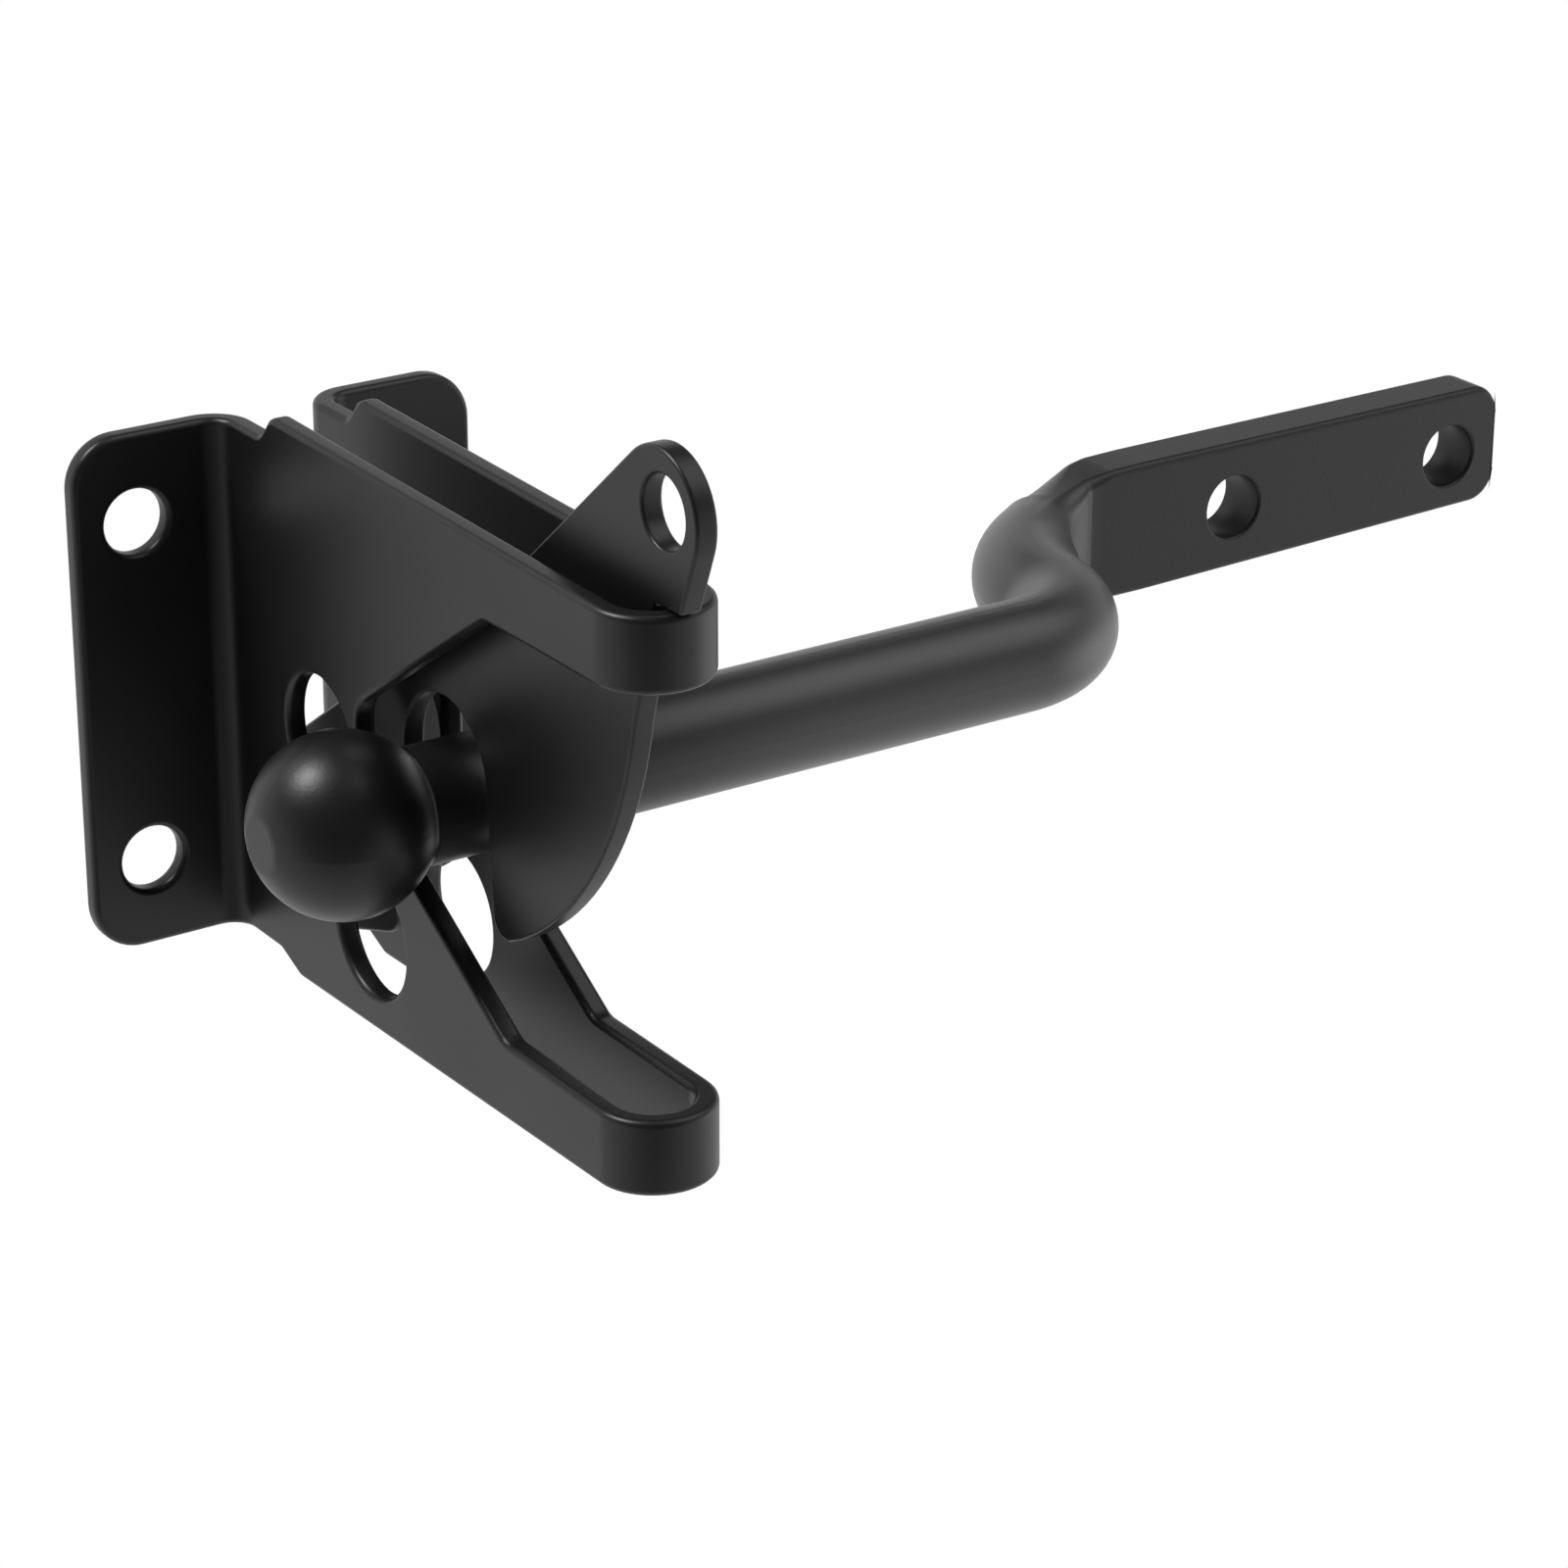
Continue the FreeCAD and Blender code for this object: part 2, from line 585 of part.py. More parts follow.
def spring_points():
    """Points along the spring: tip, leg in the left plate, coil, leg in the pawl, tip.

    They are measured from the pivot, as (X, Y, Z).
    """
    radius = size("spring_coil") / 2
    wire = size("spring_wire") / 2
    turn = wire + size("leg_slack")
    left = -size("plate_gap") / 2 + size("side_play") + wire
    right = -size("pawl_thick") / 2 - size("side_play") - wire
    foot = Vector(left, size("pivot_reach") - number(PLATE_LEG[0]),
                  size("pivot_drop") - number(PLATE_LEG[1]))
    hand = Vector(right, size("pivot_reach") - number(PAWL_LEG[0]),
                  size("pivot_drop") - number(PAWL_LEG[1]))
    start = math.atan2(foot.z, foot.y) - math.acos(radius / math.hypot(foot.y, foot.z))
    end = math.atan2(hand.z, hand.y) + math.acos(radius / math.hypot(hand.y, hand.z))
    while end > start - math.pi * 2 * (size("spring_turns") - 0.5):
        end -= math.pi * 2
    coil = []
    for step in range(COIL_STEPS + 1):
        part = step / COIL_STEPS
        angle = start + (end - start) * part
        along = left + (right - left) * part * part * (3 - 2 * part)
        coil.append(Vector(along, radius * math.cos(angle), radius * math.sin(angle)))
    leg_in = (coil[0] - foot).normalize()
    leg_out = (coil[-1] - hand).normalize()
    across = Vector(turn, 0, 0)
    far_left = Vector(size("sheet") - 0.2, 0, 0)
    return [
        foot - across - far_left,
        foot - across,
        foot + leg_in * turn,
        *coil,
        hand + leg_out * turn,
        hand + across,
    ]


def wire_piece(face, start, heading, end):
    """Sweep a wire's round face to the next point, along an arc or a straight line.

    Returns the solid, the face at its far end, and the direction there.
    """
    run = end - start
    lean = heading.getAngle(run)
    if lean < 1e-4:
        solid = face.extrude(run)
        face = face.copy()
        face.translate(run)
        return solid, face, heading
    axis = heading.cross(run).normalize()
    centre = start + axis.cross(heading) * (run.Length / (2 * math.sin(lean)))
    degrees = math.degrees(2 * lean)
    solid = face.revolve(centre, axis, degrees)
    face = face.copy()
    face.rotate(centre, axis, degrees)
    return solid, face, Rotation(axis, degrees).multVec(heading)


def make_spring():
    """The torsion spring that presses the pawl down on the bracket's nose."""
    points = spring_points()
    heading = Vector(1, 0, 0)
    radius = size("spring_wire") / 2
    ring = []
    for flat in range(WIRE_FLATS + 1):
        turn = 2 * math.pi * flat / WIRE_FLATS
        ring.append(points[0] + Vector(0, math.cos(turn), math.sin(turn)) * radius)
    face = Part.Face(Part.makePolygon(ring))
    solids = []
    for start, end in zip(points, points[1:]):
        solid, face, heading = wire_piece(face, start, heading, end)
        solids.append(solid)
    solids.append(face.extrude(heading * (size("pawl_thick") - 0.3)))
    feature = doc.addObject("Part::Feature", "torsion_spring")
    feature.Label = "torsion_spring"
    feature.Shape = solids[0].multiFuse(solids[1:]).removeSplitter().Solids[0]
    place = Vector(0, -size("pivot_reach"), -size("pivot_drop"))
    feature.Placement = Placement(place, Rotation())
    return feature


def bar_sketch(body, name, reach):
    """A front-view sketch at a reach, with the bar's axis as its horizontal axis."""
    return new_sketch(body, "XZ_Plane", name, {"y": "-Sizes.bar_drop", "z": reach})


BEND_SUM = "((Sizes.bar_reach - Sizes.strap_reach) / (1 - cos(Sizes.bend_angle)))"
SECOND_BEND = "(%s - Sizes.first_bend)" % BEND_SUM
BENDS_END = "(Sizes.bend_start + %s * sin(Sizes.bend_angle))" % BEND_SUM


def make_striker():
    """Forge the striker from one bar: flat strap, double bend, straight run and ball."""
    body = new_body("striker_bar")
    add_strap(body)
    path = new_sketch(body, "XY_Plane", "bar_path", {"z": "-Sizes.bar_drop"})
    draw_outline(path, [
        ("-Sizes.ball_side", "-Sizes.bar_reach"),
        ("Sizes.bend_start", "-Sizes.bar_reach", "Sizes.first_bend", 1),
        ("Sizes.bend_start + Sizes.first_bend * sin(Sizes.bend_angle)",
         "-Sizes.bar_reach + Sizes.first_bend * (1 - cos(Sizes.bend_angle))",
         SECOND_BEND, -1),
        (BENDS_END, "-Sizes.strap_reach"),
        ("Sizes.strap_first - Sizes.strap_hole", "-Sizes.strap_reach"),
    ], closed=False)
    ring = new_sketch(body, "YZ_Plane", "bar_circle", {"z": "-Sizes.ball_side"})
    draw_circle(ring, "-Sizes.bar_reach", "-Sizes.bar_drop", "Sizes.bar_size")
    pipe = body.newObject("PartDesign::AdditivePipe", "round_bar")
    pipe.Profile = ring
    pipe.Spine = path
    doc.recompute()
    add_ball(body)
    flatten_bar(body)
    holes = bar_sketch(body, "strap_circles", "Sizes.strap_reach")
    draw_circle(holes, "Sizes.strap_first", "0", "Sizes.strap_hole")
    draw_circle(holes, "Sizes.strap_first + Sizes.strap_pitch", "0", "Sizes.strap_hole")
    cut_through(body, holes, "strap_holes")
    return body


def add_strap(body):
    """The flat strap, which follows the second bend and flares from the bar's height."""
    plan = new_sketch(body, "XY_Plane", "strap_plan", {"z": "-Sizes.bar_drop"})
    centre = "(Sizes.strap_reach + %s)" % SECOND_BEND
    outer = "(%s + Sizes.strap_thick / 2)" % SECOND_BEND
    inner = "(%s - Sizes.strap_thick / 2)" % SECOND_BEND
    turn = "asin(Sizes.flare_start / %s)" % outer
    back = "-(Sizes.strap_reach - Sizes.strap_thick / 2)"
    front = "-(Sizes.strap_reach + Sizes.strap_thick / 2)"
    draw_outline(plan, [
        ("Sizes.strap_end", back),
        (BENDS_END, back, outer, 1),
        ("%s - %s * sin(%s)" % (BENDS_END, outer, turn),
         "-%s + %s * cos(%s)" % (centre, outer, turn)),
        ("%s - %s * sin(%s)" % (BENDS_END, inner, turn),
         "-%s + %s * cos(%s)" % (centre, inner, turn), inner, -1),
        (BENDS_END, front),
        ("Sizes.strap_end", front),
    ])
    pad(body, plan, "strap", "Sizes.strap_high")
    full = "(%s + Sizes.flare_end)" % BENDS_END
    start = "(%s - Sizes.flare_start)" % BENDS_END
    low_end = "-(Sizes.strap_high / 2 - Sizes.strap_taper)"
    for side, word in (("", "upper"), ("-", "lower")):
        wedge = bar_sketch(body, word + "_flare", "Sizes.strap_reach")
        corners = [
            (full, side + "Sizes.strap_high / 2"),
            (start, side + "Sizes.flare_high / 2"),
            (start + " - Sizes.bar_size", side + "Sizes.flare_high / 2"),
            (start + " - Sizes.bar_size", side + "Sizes.strap_high"),
            (full, side + "Sizes.strap_high"),
        ]
        if word == "lower":
            corners[-1] = ("Sizes.strap_end", "-Sizes.strap_high")
            corners.append(("Sizes.strap_end", low_end))
        draw_outline(wedge, corners)
        cut_through(body, wedge, word + "_flare_cut")
    bends = [
        Vector(number(full), 0, -size("bar_drop") + side * size("strap_high") / 2)
        for side in (-1, 1)
    ]
    round_edges(body, "flare_rounding", bends, FORWARD, "Sizes.flare_round")
    ends = [
        Vector(size("strap_end"), 0, -size("bar_drop") + size("strap_high") / 2),
        Vector(size("strap_end"), 0, -size("bar_drop") + number(low_end)),
    ]
    round_edges(body, "strap_corners", ends, FORWARD, "Sizes.strap_corner")


def add_ball(body):
    """The ball end, with the small flat left on its end."""
    ball = bar_sketch(body, "ball_profile", "Sizes.bar_reach")
    facet = "-Sizes.ball_side - sqrt(Sizes.ball_size ^ 2 - Sizes.ball_facet ^ 2) / 2"
    neck = "-Sizes.ball_side + sqrt(Sizes.ball_size ^ 2 - Sizes.bar_size ^ 2) / 2"
    draw_outline(ball, [
        (facet, "0"),
        (facet, "Sizes.ball_facet / 2", "Sizes.ball_size / 2", -1),
        (neck, "Sizes.bar_size / 2"),
        (neck, "0"),
    ])
    spin(body, ball, "ball_end")


def flatten_bar(body):
    """Press the round bar down to the strap's thickness where the strap starts."""
    front = "-(Sizes.strap_reach + Sizes.strap_thick / 2)"
    back = "-(Sizes.strap_reach - Sizes.strap_thick / 2)"
    flat = "(%s - Sizes.flat_start)" % BENDS_END
    sides = new_sketch(body, "XY_Plane", "strap_faces")
    draw_outline(sides, [
        (flat, front),
        (flat + " - Sizes.bar_size / 2", front + " - Sizes.bar_size / 2"),
        (flat + " - Sizes.bar_size / 2", front + " - Sizes.bar_size"),
        ("Sizes.strap_end", front + " - Sizes.bar_size"),
        ("Sizes.strap_end", front),
    ])
    cut_through(body, sides, "front_flat")
    rear = new_sketch(body, "XY_Plane", "strap_back")
    draw_outline(rear, [
        ("Sizes.bend_start", back),
        ("Sizes.strap_end", back),
        ("Sizes.strap_end", back + " + Sizes.bar_size"),
        ("Sizes.bend_start", back + " + Sizes.bar_size"),
    ])
    cut_through(body, rear, "back_flat")


def check_document(pieces):
    """Stop if any object failed or any piece is empty or not valid."""
    for item in doc.Objects:
        if "Invalid" in item.State or "Error" in item.State:
            raise RuntimeError("%s failed: %s" % (item.Name, item.State))
    for piece in pieces:
        if piece.Shape.isNull() or not piece.Shape.isValid():
            raise RuntimeError("%s is not a valid shape" % piece.Label)
        if len(piece.Shape.Solids) != 1:
            raise RuntimeError("%s is not one solid" % piece.Label)


pieces = [
    make_bracket(),
    make_pawl(),
    make_rivet(),
    make_spring(),
    make_spacer("spring_spacer", "-", "Sizes.sleeve"),
    make_spacer("pawl_spacer", "", "Sizes.spacer"),
    make_striker(),
]
doc.recompute()
check_document(pieces)
os.makedirs("parts", exist_ok=True)
for piece in pieces:
    piece.Shape.exportStep("parts/%s.step" % piece.Label)
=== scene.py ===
"""Looks for the gate latch: powder-coated steel, soft lights and the product camera."""

import math

import bmesh
import bpy
from mathutils import Matrix, Vector


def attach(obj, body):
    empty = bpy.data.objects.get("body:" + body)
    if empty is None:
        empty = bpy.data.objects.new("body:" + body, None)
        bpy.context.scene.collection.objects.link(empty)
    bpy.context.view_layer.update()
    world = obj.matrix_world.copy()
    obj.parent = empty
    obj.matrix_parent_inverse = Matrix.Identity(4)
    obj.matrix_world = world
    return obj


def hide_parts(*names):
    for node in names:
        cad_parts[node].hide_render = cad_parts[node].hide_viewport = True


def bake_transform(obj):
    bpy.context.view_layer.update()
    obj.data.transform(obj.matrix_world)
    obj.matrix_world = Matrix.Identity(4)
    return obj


bl_info = {
    "name": "Gate latch looks",
    "version": (1, 0, 0),
    "blender": (4, 5, 0),
    "location": "View3D > Sidebar > Gate latch",
    "description": "Finishes the packed gate latch and sets up its lights and camera",
    "category": "Object",
}

MM = 0.001

# How finely the forging's cross-sections, bends and holes are divided
CORNER_STEPS = 12
BALL_STEPS = 28
FILLET_STEPS = 5
BEND_STEPS = 24
STRAP_STEPS = 12
END_STEPS = 7
HOLE_STEPS = 64

# Share of a cross-section that its corners may take, and a drill's length in its diameters
NEARLY = 0.99
DRILL_LENGTH = 4

# Before edges are rounded, points closer than this many metres are joined, and faces whose
# directions differ by less than this many degrees become one
WELD_WITHIN = 1e-6
FLAT_WITHIN = 0.5

# The coats' noise: its middle value, how detailed each kind is, and how much more the
# patches change the colour than the roughness
NOISE_MIDDLE = 0.5
PATCH_DETAIL = 3.0
GRAIN_DETAIL = 1.0
GRIT_DETAIL = 2.0
PATCH_TINT = 2.0

# How the bar is pressed flat in its second bend: degrees of bend left, and millimetres
PRESSED_FRONT = ((10.0, 3.08), (32.0, 3.9), (50.0, 6.35))
FRONT_CORNERS = ((0.0, 0.8), (10.0, 1.2), (32.0, 3.0), (50.0, 6.3))
BACK_CORNERS = ((0.0, 0.8), (6.0, 1.2), (24.0, 6.0), (30.0, 6.3))

# The stage, in metres: the point that the lamps look at, the floor and the wall behind it
LATCH_MIDDLE = (0.03, -0.04, 0.0)
SWEEP_LEFT, SWEEP_RIGHT = -2.5, 2.5
SWEEP_FRONT, SWEEP_BACK, SWEEP_TOP = -0.1, 2.0, 1.25
SWEEP_CURVE = 0.5
SWEEP_STEPS = 16

# Where the room darkens: how far a direction points to its dark front, and how far up
DARK_EDGE, DARK_MIDDLE = 0.35, 0.8
CEILING_START, CEILING_END = 0.22, 0.42

# Each lamp's name, place, width and height in metres, and its watts
LAMPS = (
    ("key", (-0.30, 0.16, 0.55), 0.20, 0.20, 3.8),
    ("over", (0.50, -0.30, 0.80), 0.80, 0.80, 3.6),
    ("right", (0.95, -0.36, -0.20), 0.60, 0.50, 1.0),
)

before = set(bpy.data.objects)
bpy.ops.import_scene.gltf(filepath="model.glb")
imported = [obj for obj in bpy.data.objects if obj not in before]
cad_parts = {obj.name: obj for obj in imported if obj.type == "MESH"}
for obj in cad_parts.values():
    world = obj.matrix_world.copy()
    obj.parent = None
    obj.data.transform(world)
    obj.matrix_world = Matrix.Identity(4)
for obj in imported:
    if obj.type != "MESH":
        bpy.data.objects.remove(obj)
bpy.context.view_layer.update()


class CoatSettings(bpy.types.PropertyGroup):
    """The black powder coat of every pressed and forged piece."""

    colour: bpy.props.FloatVectorProperty(
        name="Colour", description="Colour of the powder coat",
        subtype="COLOR", size=3, default=(0.006, 0.006, 0.0062), min=0, max=1,
    )
    roughness: bpy.props.FloatProperty(
        name="Roughness", description="How far the coat spreads a reflection",
        subtype="FACTOR", default=0.4, min=0, max=1,
    )
    gloss: bpy.props.FloatProperty(
        name="Gloss", description="Strength of the coat's reflections",
        subtype="FACTOR", default=0.39, min=0, max=1,
    )
    patch_size: bpy.props.FloatProperty(
        name="Patch size", description="Width of the faint uneven patches",
        unit="LENGTH", default=14.0 * MM, min=1.0 * MM, precision=4,
    )
    patch_amount: bpy.props.FloatProperty(
        name="Patch amount", description="How far roughness varies between patches",
        subtype="FACTOR", default=0.06, min=0, max=1,
    )
    peel_size: bpy.props.FloatProperty(
        name="Orange peel size", description="Width of the coat's small bumps",
        unit="LENGTH", default=0.7 * MM, min=0.1 * MM, precision=5,
    )
    peel_height: bpy.props.FloatProperty(
        name="Orange peel height", description="Height of the coat's small bumps",
        unit="LENGTH", default=0.006 * MM, min=0, precision=6,
    )


class SpringSettings(bpy.types.PropertyGroup):
    """The bare wire of the torsion spring."""

    colour: bpy.props.FloatVectorProperty(
        name="Colour", description="Colour of the spring wire",
        subtype="COLOR", size=3, default=(0.33, 0.33, 0.34), min=0, max=1,
    )
    roughness: bpy.props.FloatProperty(
        name="Roughness", description="How far the wire spreads a reflection",
        subtype="FACTOR", default=0.3, min=0, max=1,
    )
    patch_size: bpy.props.FloatProperty(
        name="Patch size", description="Width of the wire's uneven patches",
        unit="LENGTH", default=2.0 * MM, min=0.1 * MM, precision=4,
    )
    patch_amount: bpy.props.FloatProperty(
        name="Patch amount", description="How far roughness varies between patches",
        subtype="FACTOR", default=0.1, min=0, max=1,
    )
    grain_size: bpy.props.FloatProperty(
        name="Grain size", description="Width of the drawing marks on the wire",
        unit="LENGTH", default=0.4 * MM, min=0.05 * MM, precision=5,
    )
    grain_height: bpy.props.FloatProperty(
        name="Grain height", description="Height of the drawing marks on the wire",
        unit="LENGTH", default=0.002 * MM, min=0, precision=6,
    )


class ForgingSettings(bpy.types.PropertyGroup):
    """The duller, greyer coat of the forged bar, away from its ball."""

    colour: bpy.props.FloatVectorProperty(
        name="Colour", description="Colour of the coat on the bar and the strap",
        subtype="COLOR", size=3, default=(0.009, 0.009, 0.0093), min=0, max=1,
    )
    roughness: bpy.props.FloatProperty(
        name="Roughness", description="How far the bar's coat spreads a reflection",
        subtype="FACTOR", default=0.45, min=0, max=1,
    )
    dull_from: bpy.props.FloatProperty(
        name="Dull from", description="Distance along the bar where the coat starts to dull",
        unit="LENGTH", default=5.0 * MM, precision=4,
    )
    dull_to: bpy.props.FloatProperty(
        name="Dull to", description="Distance along the bar where the coat is fully dull",
        unit="LENGTH", default=45.0 * MM, precision=4,
    )
    grit_size: bpy.props.FloatProperty(
        name="Grit size", description="Width of the fine grit in the bar's coat",
        unit="LENGTH", default=0.5 * MM, min=0.1 * MM, precision=5,
    )
    grit_amount: bpy.props.FloatProperty(
        name="Grit amount", description="How far the fine grit varies the bar's colour",
        subtype="FACTOR", default=0.4, min=0, max=1,
    )
    grit_height: bpy.props.FloatProperty(
        name="Grit height", description="Height of the fine grit",
        unit="LENGTH", default=0.012 * MM, min=0, precision=6,
    )
    sheen: bpy.props.FloatProperty(
        name="Sheen", description="Extra shine of the bar between the latch and the strap",
        subtype="FACTOR", default=0.75, min=0, max=1,
    )
    strap_from: bpy.props.FloatProperty(
        name="Strap from", description="Distance along the bar where the extra shine fades",
        unit="LENGTH", default=97.0 * MM, precision=4,
    )
    strap_to: bpy.props.FloatProperty(
        name="Strap to", description="Distance along the bar where the extra shine has gone",
        unit="LENGTH", default=103.0 * MM, precision=4,
    )


class EdgeSettings(bpy.types.PropertyGroup):
    """Edge rounding of each kind of piece."""

    sheet_edge: bpy.props.FloatProperty(
        name="Sheet edges", description="Rounding of the bracket's edges",
        unit="LENGTH", default=0.7 * MM, min=0, precision=5,
    )
    pawl_edge: bpy.props.FloatProperty(
        name="Pawl edges", description="Rounding of the pawl's edges",
        unit="LENGTH", default=0.4 * MM, min=0, precision=5,
    )
    strap_edge: bpy.props.FloatProperty(
        name="Strap edges", description="Rounding of the strap's holes and end",
        unit="LENGTH", default=0.4 * MM, min=0, precision=5,
    )
    small_edge: bpy.props.FloatProperty(
        name="Small edges", description="Rounding of the rivet, spacers and spring",
        unit="LENGTH", default=0.12 * MM, min=0, precision=5,
    )
    steps: bpy.props.IntProperty(
        name="Steps", description="Facets across each rounded edge", default=3, min=1, max=6,
    )
    sharp_angle: bpy.props.FloatProperty(
        name="Sharp above", description="Edges that turn further than this are rounded",
        unit="ROTATION", subtype="ANGLE", default=math.radians(32.0),
    )


class StrikerSettings(bpy.types.PropertyGroup):
    """Sizes of the forged striker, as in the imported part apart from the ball's smaller flat."""

    bar_size: bpy.props.FloatProperty(
        name="Bar diameter", description="Diameter of the round bar",
        unit="LENGTH", default=12.7 * MM, precision=4,
    )
    bar_reach: bpy.props.FloatProperty(
        name="Bar reach", description="Distance of the bar's axis in front of the post",
        unit="LENGTH", default=40.5 * MM, precision=4,
    )
    bar_drop: bpy.props.FloatProperty(
        name="Bar drop", description="Distance of the bar's axis under the bracket's middle",
        unit="LENGTH", default=2.4 * MM, precision=4,
    )
    ball_size: bpy.props.FloatProperty(
        name="Ball diameter", description="Diameter of the ball end",
        unit="LENGTH", default=19.8 * MM, precision=4,
    )
    ball_side: bpy.props.FloatProperty(
        name="Ball side", description="Distance of the ball's centre left of the bracket's middle",
        unit="LENGTH", default=14.1 * MM, precision=4,
    )
    ball_facet: bpy.props.FloatProperty(
        name="Ball flat", description="Diameter of the flat on the ball",
        unit="LENGTH", default=5.6 * MM, precision=4,
    )
    neck_round: bpy.props.FloatProperty(
        name="Neck rounding", description="Radius between the ball and the bar",
        unit="LENGTH", default=1.2 * MM, precision=4,
    )
    bend_start: bpy.props.FloatProperty(
        name="Bend start", description="Distance along the bar where the first bend starts",
        unit="LENGTH", default=71.3 * MM, precision=4,
    )
    first_bend: bpy.props.FloatProperty(
        name="First bend", description="Radius of the first bend's axis",
        unit="LENGTH", default=12.7 * MM, precision=4,
    )
    bend_angle: bpy.props.FloatProperty(
        name="Bend angle", description="Angle of each of the two bends",
        unit="ROTATION", subtype="ANGLE", default=math.radians(82.0),
    )
    strap_reach: bpy.props.FloatProperty(
        name="Strap reach", description="Distance of the strap's middle in front of the post",
        unit="LENGTH", default=11.75 * MM, precision=4,
    )
    strap_thick: bpy.props.FloatProperty(
        name="Strap thickness", description="Thickness of the flat strap",
        unit="LENGTH", default=6.7 * MM, precision=4,
    )
    strap_high: bpy.props.FloatProperty(
        name="Strap height", description="Height of the strap where it starts",
        unit="LENGTH", default=16.2 * MM, precision=4,
    )
    strap_taper: bpy.props.FloatProperty(
        name="Strap taper", description="Rise of the strap's lower edge towards its end",
        unit="LENGTH", default=1.4 * MM, precision=4,
    )
    strap_end: bpy.props.FloatProperty(
        name="Strap end", description="Distance along the bar of the strap's end",
        unit="LENGTH", default=163.9 * MM, precision=4,
    )
    strap_corner: bpy.props.FloatProperty(
        name="Strap corners", description="Corner radius of the strap's end",
        unit="LENGTH", default=3.2 * MM, precision=4,
    )
    strap_hole: bpy.props.FloatProperty(
        name="Strap holes", description="Diameter of the strap's two screw holes",
        unit="LENGTH", default=7.8 * MM, precision=4,
    )
    strap_first: bpy.props.FloatProperty(
        name="First hole", description="Distance along the bar of the strap's first hole",
        unit="LENGTH", default=122.5 * MM, precision=4,
    )
    strap_pitch: bpy.props.FloatProperty(
        name="Hole spacing", description="Distance between the strap's two holes",
        unit="LENGTH", default=34.0 * MM, precision=4,
    )
    edge_round: bpy.props.FloatProperty(
        name="Strap edge radius", description="Radius of the strap's long edges",
        unit="LENGTH", default=0.8 * MM, precision=4,
    )
    flare_from: bpy.props.FloatProperty(
        name="Flare start", description="Distance along the bar where its height starts to grow",
        unit="LENGTH", default=93.0 * MM, precision=4,
    )
    flare_to: bpy.props.FloatProperty(
        name="Flare end", description="Distance along the bar where the strap has its full height",
        unit="LENGTH", default=106.5 * MM, precision=4,
    )
    flat_start: bpy.props.FloatProperty(
        name="Flat start", description="Length of the strap's front face before the bend's end",
        unit="LENGTH", default=3.6 * MM, precision=4,
    )


class StageSettings(bpy.types.PropertyGroup):
    """Camera, lights, floor and surroundings."""

    camera_place: bpy.props.FloatVectorProperty(
        name="Camera", description="Where the camera stands",
        subtype="TRANSLATION", unit="LENGTH", size=3, precision=4,
        default=(-231.89 * MM, -444.39 * MM, 194.30 * MM),
    )
    camera_turn: bpy.props.FloatVectorProperty(
        name="Camera turn", description="How the camera is turned",
        subtype="EULER", unit="ROTATION", size=3, precision=4,
        default=(math.radians(67.1908), math.radians(-0.1413), math.radians(-33.9111)),
    )
    lens: bpy.props.FloatProperty(
        name="Lens", description="Focal length of the lens",
        unit="CAMERA", default=112.01, min=10,
    )
    floor_drop: bpy.props.FloatProperty(
        name="Floor drop", description="Distance of the floor under the latch",
        unit="LENGTH", default=0.3, precision=3,
    )
    floor_colour: bpy.props.FloatVectorProperty(
        name="Floor", description="Colour of the floor and the wall behind",
        subtype="COLOR", size=3, default=(0.8, 0.8, 0.8), min=0, max=1,
    )
    background: bpy.props.FloatProperty(
        name="Background", description="Brightness of the background that the camera sees",
        default=1.0, min=0,
    )
    room: bpy.props.FloatProperty(
        name="Room", description="Brightness of the room around the stage",
        default=0.95, min=0,
    )
    room_top: bpy.props.FloatProperty(
        name="Room above", description="Brightness of the room's ceiling",
        default=0.08, min=0,
    )
    room_front: bpy.props.FloatProperty(
        name="Room in front", description="Brightness of the room behind the camera",
        default=0.14, min=0,
    )
    power: bpy.props.FloatProperty(
        name="Light power", description="Multiplies the power of every lamp",
        subtype="FACTOR", default=1.0, min=0,
    )


def new_material(name):
    """A material with its Principled shader, and the shader's node."""
    material = bpy.data.materials.new(name)
    material.use_nodes = True
    nodes = material.node_tree.nodes
    nodes.clear()
    shader = nodes.new("ShaderNodeBsdfPrincipled")
    output = nodes.new("ShaderNodeOutputMaterial")
    material.node_tree.links.new(shader.outputs["BSDF"], output.inputs["Surface"])
    return material, shader


